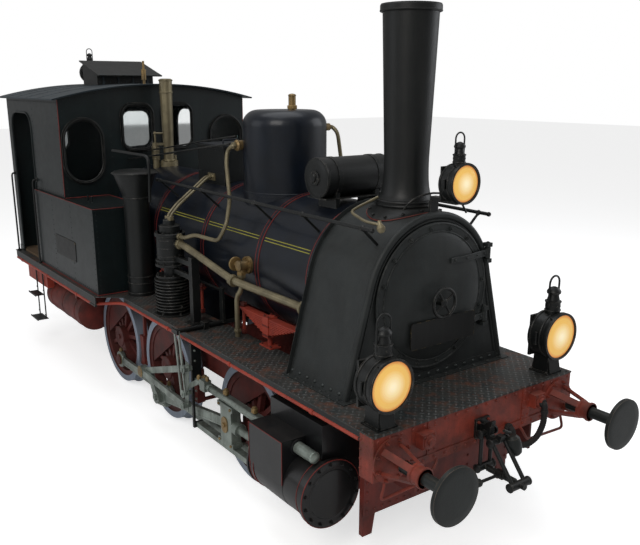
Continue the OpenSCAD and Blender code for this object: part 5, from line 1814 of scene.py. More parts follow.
    def build(self) -> None:
        """Add every fitting in its own finish."""
        shop = self.shop
        shop.piece("pump_trim", self.pump_parts(), Finishes.BLACK_IRON, "black_iron")
        shop.piece("reservoir_trim", self.reservoir_parts(), Finishes.BLACK_IRON, "black_iron")
        shop.piece("filler_trim", self.filler_parts(), Finishes.BLACK_IRON, "black_iron")
        shop.piece("sandbox_trim", self.other_parts(), Finishes.BOILER, "boiler_black")
        shop.piece("safety_valve_trim", self.safety_parts(), Finishes.PIPE, "brass")
        wheel = [ring((1.356, -0.69, CLACK_Z), (1, 0, 0), 0.058, 0.008, 32)]
        wheel.append(collar((1.40, -0.69, CLACK_Z), (1, 0, 0), 0.03, 0.02))
        for side in SIDES:
            face = (CLACK_X, side * 0.722, CLACK_Z)
            wheel.append(
                lathe(
                    [(-0.004, 0.05), (0.004, 0.05), (0.010, 0.04), (0.014, 0.02), (0.016, 0.0)],
                    face, (0, side, 0), 24
                )
            )
            wheel.append(
                studs(
                    around((CLACK_X, side * 0.641, CLACK_Z), (0, side, 0), 0.064, 8), (0, side, 0),
                    0.008, Head.STUD
                )
            )
            wheel.append(collar((CLACK_X, side * CLACK_Y, 1.868), (0, 0, 1), 0.044, 0.012))
        top = [(3.38, 0.034), (3.392, 0.038), (3.40, 0.03), (3.405, 0.012), (3.407, 0.0)]
        wheel.append(lathe(top, (1.175, 0.06, 0), sides=24))
        wheel.append(collar((1.175, 0.06, 3.285), (0, 0, 1), 0.05, 0.016))
        wheel.append(
            lathe(
                [(0.40, 0.046), (0.415, 0.052), (0.43, 0.04), (0.436, 0.0)], (0.96, 0, 2.944),
                (0, -1, 0), 28
            )
        )
        shop.piece("valve_trim", wheel, Finishes.BRASS, "brass")


# ---------------------------------------------------------------- cab and bunkers


@dataclass
class CabTrim:
    """Window frames, rivets, lining, roof seams and doorway frames."""

    shop: Workshop
    front_x: float = -1.655
    rear_x: float = -3.770
    side_y: float = 1.205
    roof_radius: float = 5.125
    roof_z: float = -1.629
    bunker_x: tuple[float, float] = (-2.74, -0.68)
    bunker_y: tuple[float, float] = (0.66, 1.24)
    bunker_top: float = 2.208

    def window(
        self, x: float, y: float, z: float, size: tuple[float, float, float], way: float
    ) -> list[Surface]:
        """Carry two mouldings round a window: its own outline, a little larger.

        Args:
            x: The wall's face.
            y: The window's middle.
            z: The window's height.
            size: Its width, height and corner radius.
            way: Which way the wall faces, 1 or -1.

        Returns:
            The flat frame and the bead on its inner edge.
        """
        width, height, radius = size
        rows = []
        for grow, outline, out in (
            (0.030, rounded(0.012, 0.066, 0.004), 0.005), (0.002, circle(0.011, 10), 0.009),
            (0.060, circle(0.006, 8), 0.006),
        ):
            flat = rounded(width + grow, height + grow, radius + grow / 2, 12)
            keep = np.linalg.norm(np.roll(flat, -1, 0) - flat, axis=1) > 1e-4
            flat = flat[keep]
            path = np.stack((np.full(len(flat), x + way * out), y + flat[:, 0], z + flat[:, 1]), -1)
            rows.append(sweep(path, outline, closed=True))
        return rows

    def roof_line(self, x: float, half: float, thick: float, out: float = 0.0) -> Surface:
        """Carry a strip over the roof: z = roof_z + sqrt(roof_radius^2 - y^2)."""
        y = np.linspace(-1.285, 1.285, 49)
        path = np.stack(
            (np.full(49, x), y, self.roof_z + np.sqrt(self.roof_radius**2 - y**2) + out), -1
        )
        return sweep(path, rounded(half * 2, thick, thick / 3, 3))

    def roof(self) -> None:
        """Add the roof's seams, its edge beads and gutters."""
        parts = [self.roof_line(x, 0.022, 0.006) for x in (-2.15, -2.62, -3.05, -3.45)]
        parts += [self.roof_line(x, 0.009, 0.018, -0.006) for x in (-1.569, -3.831)]
        edge = self.roof_z + (self.roof_radius**2 - 1.288**2) ** 0.5
        gutter = tube([(-3.838, 1.288, edge - 0.005), (-1.562, 1.288, edge - 0.005)], 0.010, 10)
        parts.append(gutter.both())
        for x in (-2.15, -2.62, -3.05, -3.45):
            y = np.linspace(-1.2, 1.2, 25)
            row = np.stack(
                (np.full(25, x), y, self.roof_z + np.sqrt(self.roof_radius**2 - y**2) + 0.003), -1
            )
            parts.append(studs(row, (0, 0, 1), 0.007))
        self.shop.piece("roof_trim", parts, Finishes.ROOF, "roof_grey")
        lid = [block((-3.075, -0.39, 3.40), (-2.545, 0.39, 3.455))]
        rows = [line((-2.556, -0.35, 3.52), (-2.556, 0.35, 3.52), 0.07)]
        lid.append(studs(rows[0], (1, 0, 0), 0.008))
        slats = np.linspace(-0.3, 0.3, 4)
        for y in slats:
            lid.append(block((-2.56, y - 0.012, 3.46), (-2.552, y + 0.012, 3.585)))
        lid.append(tube([(-2.40, -0.425, 3.60), (-2.40, 0.425, 3.60)], 0.011, 10))
        self.shop.piece("ventilator_trim", lid, Finishes.ROOF, "roof_grey")

    def doorway(self) -> Surface:
        """Carry a bead round a doorway: up, round its top corners, and down."""
        path = bend(
            [
                (-2.74, 1.207, 1.285), (-2.74, 1.207, 3.15), (-3.59, 1.207, 3.15),
                (-3.59, 1.207, 1.285)
            ],
            0.24, 12,
        )
        return tube(path, 0.012, 10)

    def rivets(self) -> list[Surface]:
        """Set the rows of rivets on the cab's and the bunkers' plates."""
        parts = []

        def row(start: Corner, end: Corner, pitch: float, way: Corner) -> None:
            """Add one row of rivets from start to end on both sides."""
            parts.append(studs(line(start, end, pitch), way, CAB_RIVET).both())

        out = (0, 1, 0)
        y, top = self.side_y, 3.27
        for x, low in ((-1.70, 2.25), (-2.66, 2.25), (-3.73, 1.31)):
            row((x, y, low), (x, y, top), CAB_PITCH, out)
        for z, end in ((3.29, -3.73), (2.245, -2.68)):
            row((-1.70, y, z), (end, y, z), CAB_PITCH, out)
        walls = ((self.front_x, 1.0, 2.25, 2.5, 3.3), (self.rear_x, -1.0, 1.31, 1.4, 2.5))
        for x, way, low, inner_low, inner_top in walls:
            row((x, 1.165, low), (x, 1.165, 3.28), CAB_PITCH, (way, 0, 0))
            arc = np.linspace(-1.14, 1.14, 31)
            crown = self.roof_z - 0.055 + np.sqrt(self.roof_radius**2 - arc**2)
            under_roof = np.stack((np.full(31, x), arc, crown), -1)
            parts.append(studs(under_roof, (way, 0, 0), CAB_RIVET))
            row((x, 0.60, inner_low), (x, 0.60, inner_top), 0.08, (way, 0, 0))
        y = self.bunker_y[1]
        for x in (-0.715, -1.40, -2.05, -2.70):
            row((x, y, 1.32), (x, y, 2.15), BUNKER_PITCH, out)
        for z in (1.30, 2.17):
            row((-0.715, y, z), (-2.70, y, z), BUNKER_PITCH, out)
        x, ahead = self.bunker_x[1], (1, 0, 0)
        for y in (0.70, 1.205):
            row((x, y, 1.32), (x, y, 2.15), BUNKER_PITCH, ahead)
        for z in (1.30, 2.17):
            row((x, 0.70, z), (x, 1.205, z), BUNKER_PITCH, ahead)
        return parts

    def lining(self) -> None:
        """Add the red edges and lines of the bunkers and cab."""
        x0, x1 = self.bunker_x
        y0, y1 = self.bunker_y
        top = self.bunker_top
        rim = bend([(x0, y1, top), (x1, y1, top), (x1, y0, top), (x0 + 1.08, y0, top)], 0.02)
        parts = [tube(rim, 0.0045, 8).both()]
        foot = [(x0, y1 + 0.001, 1.268), (x1 + 0.001, y1 + 0.001, 1.268), (x1 + 0.001, y0, 1.268)]
        parts.append(tube(foot, 0.0045, 8).both())
        side = self.side_y + 0.0005
        parts.append(
            tube([(self.front_x, side, top + 0.02), (self.front_x, side, 3.32)], 0.0035, 8).both()
        )
        parts.append(
            tube(
                [
                    (self.front_x + 0.001, 1.2, top + 0.006),
                    (self.front_x + 0.001, 0.67, top + 0.006)
                ],
                0.0035, 8
            ).both()
        )
        self.shop.piece("cab_lining", parts, Finishes.LINING_RED, "beam_red")

    def build(self) -> None:
        """Add the frames, rivets, lining and roof."""
        frames = []
        for side in SIDES:
            frames += self.window(self.front_x, side * 0.94, 2.741, (0.44, 0.70, 0.219), 1.0)
            frames += self.window(self.front_x, side * 0.262, 2.994, (0.37, 0.507, 0.11), 1.0)
            frames += self.window(self.rear_x, side * 0.62, 2.86, (0.42, 0.52, 0.12), -1.0)
        self.shop.piece("window_frames", frames, Finishes.BLACK_IRON, "black_iron")
        base = [block((-3.765, 1.204, 1.262), (-3.60, 1.212, 1.33)).both()]
        rim = block(
            (self.bunker_x[0] + 0.001, 1.238, 2.168), (self.bunker_x[1] + 0.003, 1.244, 2.21)
        )
        front = block(
            (self.bunker_x[1] - 0.002, 0.661, 2.168), (self.bunker_x[1] + 0.004, 1.243, 2.21)
        )
        base += [rim.both(), front.both()]
        plate = np.stack(
            (*(rounded(0.69, 0.235, 0.02).T + [[-1.655], [1.637]]), np.full(28, 1.2395)), -1
        )
        plates = [prism(plate[:, [0, 2, 1]], (0, 0.006, 0)).both()]
        heads = [(x, 1.2455, z) for x in (-1.975, -1.335) for z in (1.54, 1.734)]
        plates.append(studs(heads, (0, 1, 0), 0.006).both())
        self.shop.piece("bunker_plates", plates, Finishes.PLATE, "black_iron")
        self.shop.piece(
            "cab_trim", self.rivets() + base + [self.doorway().both()], Finishes.CAB,
            "cab_green_black"
        )
        self.roof()
        self.lining()


# ---------------------------------------------------------------- motion and underframe


@dataclass
class MotionTrim:
    """Bushes, oil cups, nuts and bolts of the rods, and the wheels' hubs."""

    shop: Workshop
    axles: tuple[tuple[str, float], ...] = (
        ("wheelset_front", 1.784), ("wheelset_driving", 0.084), ("wheelset_rear", -1.216),
    )
    axle_z: float = 0.578
    crank: float = 0.275
    rod_length: float = 1.45
    cranks: tuple[tuple[str, float, float], ...] = (
        ("right", -1.0, radians(-56)), ("left", 1.0, radians(34)),
    )

    def pin(self, x: float, angle: float) -> tuple[float, float]:
        """Return the place of a crank pin for its axle: centre + crank * (cos, sin)."""
        return x + self.crank * cos(angle), self.axle_z + self.crank * sin(angle)

    def cup(self, x: float, y: float, z: float, size: float = 1.0) -> Surface:
        """Turn a small oil cup that stands on a surface."""
        profile = np.array([
            (-0.004, 0.014), (0.006, 0.014), (0.008, 0.022), (0.034, 0.022), (0.038, 0.016),
            (0.044, 0.016), (0.048, 0.009), (0.052, 0.0),
        ]) * size
        return lathe(profile, (x, y, z), sides=20)

    def side_rods(self, name: str, side: float, angle: float) -> None:
        """Add bushes, cups and bolts to one coupling rod and one connecting rod."""
        steel, brass = [], []
        for _, axle in self.axles:
            x, z = self.pin(axle, angle)
            bush = [(0.902, 0.046), (0.902, 0.066), (0.909, 0.066), (0.911, 0.062), (0.911, 0.046)]
            brass.append(lathe(bush, (x, 0, z), (0, side, 0), 36))
            brass.append(self.cup(x, side * 0.882, z + 0.091))
            rim = [
                (0.860, 0.0935), (0.866, 0.0955), (0.898, 0.0955), (0.904, 0.0925), (0.9065, 0.088)
            ]
            steel.append(lathe(rim, (x, 0, z), (0, side, 0), 48))
        x, z = self.pin(self.axles[0][1], angle)
        for a, b in ((0, 1), (1, 2)):
            x1 = self.pin(self.axles[a][1], angle)[0] - 0.11
            x0 = self.pin(self.axles[b][1], angle)[0] + 0.11
            y0, y1 = sorted((side * 0.897, side * 0.9005))
            for dz in (-0.037, 0.037):
                steel.append(block((x0, y0, z + dz - 0.008), (x1, y1, z + dz + 0.008)))
        rod = f"coupling_rod_{name}"
        self.shop.piece(f"{rod}_trim", steel, Finishes.STEEL, "motion_steel", rod)
        self.shop.piece(f"{rod}_bushes", brass, Finishes.BRASS, "brass", rod)
        self.connecting(name, side, angle)

    def connecting(self, name: str, side: float, angle: float) -> None:
        """Add the big end's strap, cotter and cup, and the small end's bush."""
        rod = f"connecting_rod_{name}"
        x, z = self.pin(self.axles[1][1], angle)
        rise = self.crank * sin(angle)
        cross_x = self.axles[1][1] + self.crank * cos(angle) + (self.rod_length**2 - rise**2) ** 0.5
        along = np.array((cross_x - x, 0.0, self.axle_z - z)) / self.rod_length
        up = np.array((-along[2], 0.0, along[0]))
        centre = np.array((x, side * 1.0, z))
        steel, brass = [], []
        for reach in (-0.075, 0.085, 0.115):
            for rise_at in (-0.072, 0.072):
                place = centre + along * reach + up * rise_at
                steel.append(studs([place], (0, side, 0), 0.012, Head.BOLT))
        steel.append(studs([np.array((x, side * 1.043, z))], (0, side, 0), 0.034, Head.BOLT, 0.6))
        mid = np.array((x, side * 0.972, z)) + up * 0.096
        brass.append(
            lathe(
                [
                    (-0.004, 0.02), (0.006, 0.02), (0.008, 0.028), (0.046, 0.028), (0.052, 0.018),
                    (0.058, 0.018), (0.062, 0.0)
                ],
                mid, up, 20
            )
        )
        small = [(0.990, 0.036), (0.990, 0.052), (0.9945, 0.052), (0.996, 0.036)]
        brass.append(lathe(small, (cross_x, 0, self.axle_z), (0, side, 0), 32))
        start = np.array((x, side * 0.9925, z)) + along * 0.16
        end = np.array((cross_x, side * 0.9925, self.axle_z)) - along * 0.10
        for dz in (-0.034, 0.034):
            steel.append(
                sweep(np.array([start + up * dz, end + up * dz]), rounded(0.004, 0.014, 0.0015, 2))
            )
        self.shop.piece(f"{rod}_trim", steel, Finishes.STEEL, "motion_steel", rod)
        self.shop.piece(f"{rod}_bushes", brass, Finishes.BRASS, "brass", rod)
        cross = f"crosshead_{name}"
        face = side * 1.02
        parts = [
            studs(
                [
                    (cross_x + dx, face, self.axle_z + dz) for dx in (-0.10, 0.10)
                    for dz in (-0.172, 0.172)
                ],
                (0, side, 0), 0.012, Head.BOLT
            )
        ]
        oval = rounded(0.10, 0.15, 0.05)
        outline = np.stack(
            (
                cross_x + oval[:, 0], np.full(len(oval), face - side * 0.002),
                self.axle_z + oval[:, 1]
            ),
            -1
        )
        parts.append(prism(outline, (0, side * 0.011, 0)))
        parts.append(
            studs(
                [(cross_x, face + side * 0.008, self.axle_z)], (0, side, 0), 0.022, Head.BOLT, 0.7
            )
        )
        self.shop.piece(f"{cross}_plate", parts, Finishes.BRASS, "brass", cross)

    def wheels(self) -> None:
        """Add hub rings, axle ends and crank-pin caps to each wheelset."""
        for name, x in self.axles:
            parts = []
            for _, side, angle in self.cranks:
                hub = [(0.828, 0.124), (0.834, 0.118), (0.835, 0.088), (0.832, 0.082), (0.832, 0.0)]
                parts.append(lathe(hub, (x, 0, self.axle_z), (0, side, 0), 40))
                parts.append(
                    studs([(x, side * 0.832, self.axle_z)], (0, side, 0), 0.03, Head.BOLT, 0.5)
                )
                px, pz = self.pin(x, angle)
                end = 0.914 if name.endswith("front") else 0.924
                cap = [
                    (end - 0.002, 0.058), (end + 0.004, 0.054), (end + 0.005, 0.026),
                    (end + 0.008, 0.02), (end + 0.008, 0.0)
                ]
                parts.append(lathe(cap, (px, 0, pz), (0, side, 0), 28))
                lip = [(0.688, 0.476), (0.69, 0.470), (0.80, 0.470), (0.803, 0.476)]
                parts.append(lathe(lip, (x, 0, self.axle_z), (0, side, 0), 96))
            self.shop.piece(f"{name}_hubs", parts, Finishes.WHEEL_RED, "wheel_red", name)

    def fixed(self) -> None:
        """Add the slide bars' cups and bolts and the valve gear's pin ends."""
        brass, steel = [], []
        for x in (1.22, 1.62, 2.10):
            brass.append(self.cup(x, 0.97, 0.828, 1.35).both())
        for x in (1.30, 1.46):
            brass.append(self.cup(x, 1.07, 0.935 if x > 1.4 else 0.90, 0.9).both())
        brass.append(
            lathe(
                [(1.125, 0.062), (1.127, 0.05), (1.132, 0.046), (1.134, 0.0)], (0.064, 0, 0.598),
                (0, 1, 0), 36
            ).both()
        )
        for x in (1.12, 1.18, 2.28, 2.34):
            steel.append(studs([(x, 0.97, 0.828)], (0, 0, 1), 0.013, Head.STUD).both())
            steel.append(studs([(x, 1.006, 0.80)], (0, 1, 0), 0.012, Head.BOLT).both())
        for x, z in ((1.110, 0.948), (1.060, 0.568), (1.085, 0.698)):
            pin = [
                (1.128, 0.036), (1.134, 0.04), (1.14, 0.04), (1.144, 0.03), (1.144, 0.018),
                (1.152, 0.016), (1.154, 0.0)
            ]
            steel.append(lathe(pin, (x, 0, z), (0, 1, 0), 24).both())
        for z in (0.62, 0.70, 1.0, 1.10, 1.22):
            steel.append(studs([(1.090, 1.0, z)], (1, 0, 0), 0.011, Head.BOLT).both())
        gland = [(-0.03, 0.045), (-0.03, 0.075), (-0.012, 0.078), (0.0, 0.075), (0.0, 0.06)]
        steel.append(lathe(gland, (2.379, 0.97, 0.578), (1, 0, 0), 36).both())
        steel.append(collar((2.40, 1.07, 0.88), (1, 0, 0), 0.042, 0.022).both())
        steel.append(collar((1.50, 1.07, 0.88), (1, 0, 0), 0.034, 0.02).both())
        self.shop.piece("gear_cups", brass, Finishes.BRASS, "brass")
        self.shop.piece("gear_bolts", steel, Finishes.STEEL, "motion_steel")

    def build(self) -> None:
        """Add the fittings of every rod, wheel and bar."""
        for name, side, angle in self.cranks:
            self.side_rods(name, side, angle)
        self.wheels()
        self.fixed()


@dataclass
class CylinderTrim:
    """Covers, studs, cladding bands and valve chest lids of the cylinders."""

    shop: Workshop
    y: float = 0.97
    z: float = 0.578
    front_x: float = 3.160
    radius: float = 0.245

    def build(self) -> None:
        """Add both cylinders' fittings."""
        at = (self.front_x, self.y, self.z)
        cover = [
            (-0.038, 0.26), (-0.036, 0.268), (-0.004, 0.268), (0.0, 0.264), (0.001, 0.262),
            (0.001, 0.20),
            (-0.002, 0.194), (0.004, 0.188), (0.007, 0.15), (0.009, 0.08), (0.010, 0.0),
        ]
        parts = [lathe(cover, at, (1, 0, 0), 72)]
        parts.append(studs(around(at, (1, 0, 0), 0.237, 14, 0.2), (1, 0, 0), 0.0155, Head.STUD))
        for x in (2.452, 3.09):
            hoop = [(x - 0.02, 0.244), (x - 0.02, 0.249), (x + 0.02, 0.249), (x + 0.02, 0.244)]
            parts.append(lathe(hoop, (0, self.y, self.z), (1, 0, 0), 72))
        turn = np.linspace(0, pi / 2, 12)
        lower = np.stack(
            (
                np.full(12, 2.417), self.y + 0.247 * np.sin(turn[::-1]),
                self.z - 0.247 * np.cos(turn[::-1])
            ),
            -1
        )
        lagging = np.concatenate(([(2.417, 1.217, 0.60)], lower, [(2.417, self.y, 0.60)]))
        parts.append(prism(lagging, (0.466, 0, 0)))
        tail = [
            (0.0, 0.046), (0.10, 0.046), (0.205, 0.044), (0.212, 0.046), (0.224, 0.044),
            (0.232, 0.03), (0.234, 0.0)
        ]
        sleeve = [lathe(tail, (2.887, 1.08, 0.88), (1, 0, 0), 32).both()]
        self.shop.piece("valve_sleeves", sleeve, Finishes.STEEL, "motion_steel")
        parts.append(collar((2.892, 1.08, 0.88), (1, 0, 0), 0.062, 0.008, 28))
        drain = [
            (-0.262, 0.012), (-0.262, 0.022), (-0.30, 0.022), (-0.305, 0.014), (-0.34, 0.012),
            (-0.342, 0.0)
        ]
        for x in (2.50, 3.05):
            parts.append(lathe(drain, (x, self.y, self.z + 0.02), sides=16))
        self.shop.piece("cylinder_trim", pairs(parts), Finishes.CYLINDER, "cylinder_black")
        red = [
            ring((x, self.y, self.z), (1, 0, 0), 0.2495, 0.003, 72)
            for x in (2.43, 2.474, 3.068, 3.112)
        ]
        red.append(ring((self.front_x - 0.001, self.y, self.z), (1, 0, 0), 0.267, 0.0035, 72))
        red.append(
            tube(
                [
                    (2.417, 1.2185, 0.60), (2.417, 1.2185, 0.945), (2.883, 1.2185, 0.945),
                    (2.883, 1.2185, 0.60)
                ],
                0.0035, 6
            )
        )
        self.shop.piece("cylinder_lining", pairs(red), Finishes.LINING_RED, "beam_red")


@dataclass
class UnderframeTrim:
    """Nuts, straps and plates of the springs, tanks, steps and frame."""

    shop: Workshop
    springs: tuple[float, float] = (1.784, 0.084)
    spring_y: float = 0.605

    def leaves(self) -> None:
        """Stack the spring leaves: each bends down by depth * (x / half length) squared."""
        parts = []
        for centre in self.springs:
            for i in range(9):
                half, z = 0.10 + 0.045 * i, 1.388 + 0.016 * i
                x = np.linspace(-half, half, 13)
                path = np.stack(
                    (centre + x, np.full(13, self.spring_y), z + 0.004 * (x / half) ** 2), -1
                )
                parts.append(sweep(path, rounded(0.084, 0.0125, 0.003, 3)))
            y = self.spring_y
            parts.append(block((centre - 0.045, y - 0.05, 1.35), (centre + 0.045, y + 0.05, 1.535)))
            parts.append(tube([(centre, y, 1.262), (centre, y, 1.352)], 0.022, 14))
            parts.append(
                block(
                    (centre - 0.09, y - 0.055, BOARD_TOP),
                    (centre + 0.09, y + 0.055, FOOT_PLATE_TOP)
                )
            )
            for dx in (-0.44, 0.44):
                parts.append(tube([(centre + dx, y, 1.262), (centre + dx, y, 1.54)], 0.016, 14))
        for i in range(5):
            half = 0.42 - 0.06 * i
            x = np.linspace(-half, half, 13) - 1.216
            path = np.stack((x, np.full(13, 0.5725), np.full(13, 0.728 + 0.016 * i)), -1)
            parts.append(sweep(path, rounded(0.054, 0.0135, 0.003, 3)))
        both = pairs(parts)
        self.shop.piece(
            "spring_leaves", both, Finishes.PIPE_RED, "frame_red", replaces=("leaf_springs",)
        )

    def edges(self) -> None:
        """Add the red pipe under the board's edge, black edge plates and side boxes."""
        pipe = [
            (-3.74, 1.268, 1.15), (-0.80, 1.268, 1.15), (-0.52, 1.023, 1.188), (3.54, 1.023, 1.19)
        ]
        parts = [tube(pipe, 0.0175, 12, 0.12).both()]
        for x in (-3.5, -2.4, -1.3, 0.6, 1.8, 3.0):
            y, z = (1.268, 1.15) if x < -0.8 else (1.023, 1.19)
            parts.append(collar((x, y, z), (1, 0, 0), 0.0235, 0.02, 20).both())
        self.shop.piece("edge_pipes", parts, Finishes.PIPE_RED, "frame_red")
        strips = [block((-3.755, 1.2725, 1.168), (-0.70, 1.2755, 1.2505))]
        strips.append(block((-0.50, 1.0275, 1.206), (3.548, 1.030, 1.2505)))
        strips.append(block((1.0610, 0.9335, 0.327), (1.0910, 1.0328, 0.379)))
        strips.append(block((1.0610, 0.9335, 0.777), (1.0910, 1.0328, 1.165)))
        strips.append(block((1.0610, 1.0138, 0.378), (1.0910, 1.0328, 0.778)))
        strips.append(block((1.0610, 0.9335, 1.164), (1.0910, 1.0058, 1.249)))
        self.shop.piece("edge_plates", pairs(strips), Finishes.BLACK_IRON, "black_iron")
        boxes = [
            block((-3.73, 0.99, 0.86), (-2.88, 1.143, 1.19)),
            block((-3.73, 0.985, 1.17), (-2.875, 1.148, 1.249))
        ]
        heads = line((-3.69, 1.148, 1.21), (-2.92, 1.148, 1.21), 0.11)
        boxes.append(studs(heads, (0, 1, 0), 0.009))
        self.shop.piece("side_boxes", pairs(boxes), Finishes.PIPE_RED, "frame_red")

    def build(self) -> None:
        """Add the springs, the board's edges and the fittings below it."""
        self.leaves()
        self.edges()
        parts = []
        for x in self.springs:
            for dx in (-0.44, 0.44):
                at = (x + dx, self.spring_y, 1.545)
                parts.append(collar(at, (0, 0, 1), 0.034, 0.016))
                parts.append(collar((at[0], at[1], 1.512), (0, 0, 1), 0.045, 0.006, 24))
                parts.append(collar((at[0], at[1], 1.285), (0, 0, 1), 0.03, 0.02))
                parts.append(studs([(at[0], at[1], 1.56)], (0, 0, 1), 0.014, Head.RIVET))
            for z in (1.365, 1.45):
                parts.append(
                    block(
                        (x - 0.05, self.spring_y - 0.054, z),
                        (x + 0.05, self.spring_y + 0.054, z + 0.014)
                    )
                )
            for dx in (-0.03, 0.03):
                parts.append(
                    studs(
                        [
                            (x + dx, self.spring_y - 0.035, 1.535),
                            (x + dx, self.spring_y + 0.035, 1.535)
                        ],
                        (0, 0, 1), 0.010, Head.STUD
                    )
                )
            feet = [
                (x + dx, self.spring_y + dy, FOOT_PLATE_TOP) for dx in (-0.07, 0.07)
                for dy in (-0.04, 0.04)
            ]
            parts.append(studs(feet, (0, 0, 1), 0.011, Head.STUD))
        for x in (-2.9, -2.01, -2.455):
            hoop = [(x - 0.022, 0.224), (x - 0.022, 0.229), (x + 0.022, 0.229), (x + 0.022, 0.224)]
            parts.append(lathe(hoop, (0, 0.88, 0.735), (1, 0, 0), 64))
        for x, way in ((-3.08, -1), (-1.83, 1)):
            dish = [
                (-0.012, 0.226), (-0.004, 0.2265), (0.0, 0.221), (0.012, 0.19), (0.024, 0.14),
                (0.031, 0.08), (0.033, 0.0)
            ]
            parts.append(lathe(dish, (x, 0.88, 0.735), (way, 0, 0), 64))
        for x in (-2.95, -2.85, -2.06, -1.96):
            parts.append(studs([(x, 1.05, 1.235)], (0, 1, 0), 0.011, Head.BOLT))
        for x in (1.784, 0.084, -1.216):
            row = [(x + dx, 0.626, z) for dx in (-0.155, 0.155) for z in (0.44, 0.52, 0.60, 0.68)]
            parts.append(studs(row, (0, 1, 0), 0.012))
        for z in (0.74, 1.15):
            parts.append(studs(line((-3.4, 0.626, z), (2.3, 0.626, z), 0.16), (0, 1, 0), 0.011))
        for a, b in (((3.326, 0.76, 0.44), (3.326, 0.76, 0.90)), ((3.326, 0.02, 0.44),
                     (3.326, 0.76, 0.44)),
                     ((3.326, 0.30, 0.50), (3.326, 0.30, 0.90))):
            parts.append(studs(line(a, b, 0.075), (1, 0, 0), 0.0125))
        foot = [(3.301, 0.70, 0.23), (3.301, 0.79, 0.23), (3.301, 0.79, 0.46), (3.301, 0.66, 0.46)]
        parts.append(prism(foot, (0.012, 0, 0)))
        self.shop.piece("underframe_trim", pairs(parts), Finishes.FRAME_RED, "frame_red")
        steps = []
        for z, y in ((0.404, 1.15), (0.746, 1.18)):
            steps.append(block((-3.334, 1.268, z - 0.012), (-3.016, 1.278, z + 0.008)))
            row = line((-3.30, y, z), (-3.05, y, z), 0.05)
            steps.append(studs(row, (0, 0, 1), 0.006))
        for x in (-3.315, -3.035):
            steps.append(
                studs(
                    [(x, 1.162, z) for z in (0.46, 0.80, 1.10, 1.20)], (0, 1, 0), 0.009, Head.BOLT
                )
            )
        hangers = [tube([(x, 1.156, 1.245), (x, 1.156, 0.40)], 0.009, 8) for x in (-3.315, -3.035)]
        self.shop.piece(
            "step_trim", [p.both() for p in steps + hangers], Finishes.BLACK_IRON, "black_iron"
        )
        board = []
        row = line((-0.45, 1.033, BOARD_TOP), (2.35, 1.033, BOARD_TOP), 0.12)
        board.append(studs(row, (0, 0, 1), 0.008).both())
        row = line((3.20, -1.0, BOARD_TOP), (3.20, 1.0, BOARD_TOP), 0.11)
        board.append(studs(row + (0.485, 0, 0), (0, 0, 1), 0.009))
        for x in (2.2, 1.05, -0.1):
            board.append(block((x - 0.003, 0.63, 1.2595), (x + 0.003, 1.03, 1.2612)).both())
        board.append(block((3.696, -1.04, 1.2485), (3.703, 1.04, 1.2615)))
        self.shop.piece("board_trim", board, Finishes.BOARD, "board_black")


FITTINGS: tuple[type, ...] = (
    BoilerTrim, SmokeboxTrim, DoorSkin, ChimneyTrim, LampTrim, BeamTrim, CouplingTrim, Piping,
    BoilerFittings, CabTrim, MotionTrim, CylinderTrim, UnderframeTrim,
)


# ---------------------------------------------------------------- scene


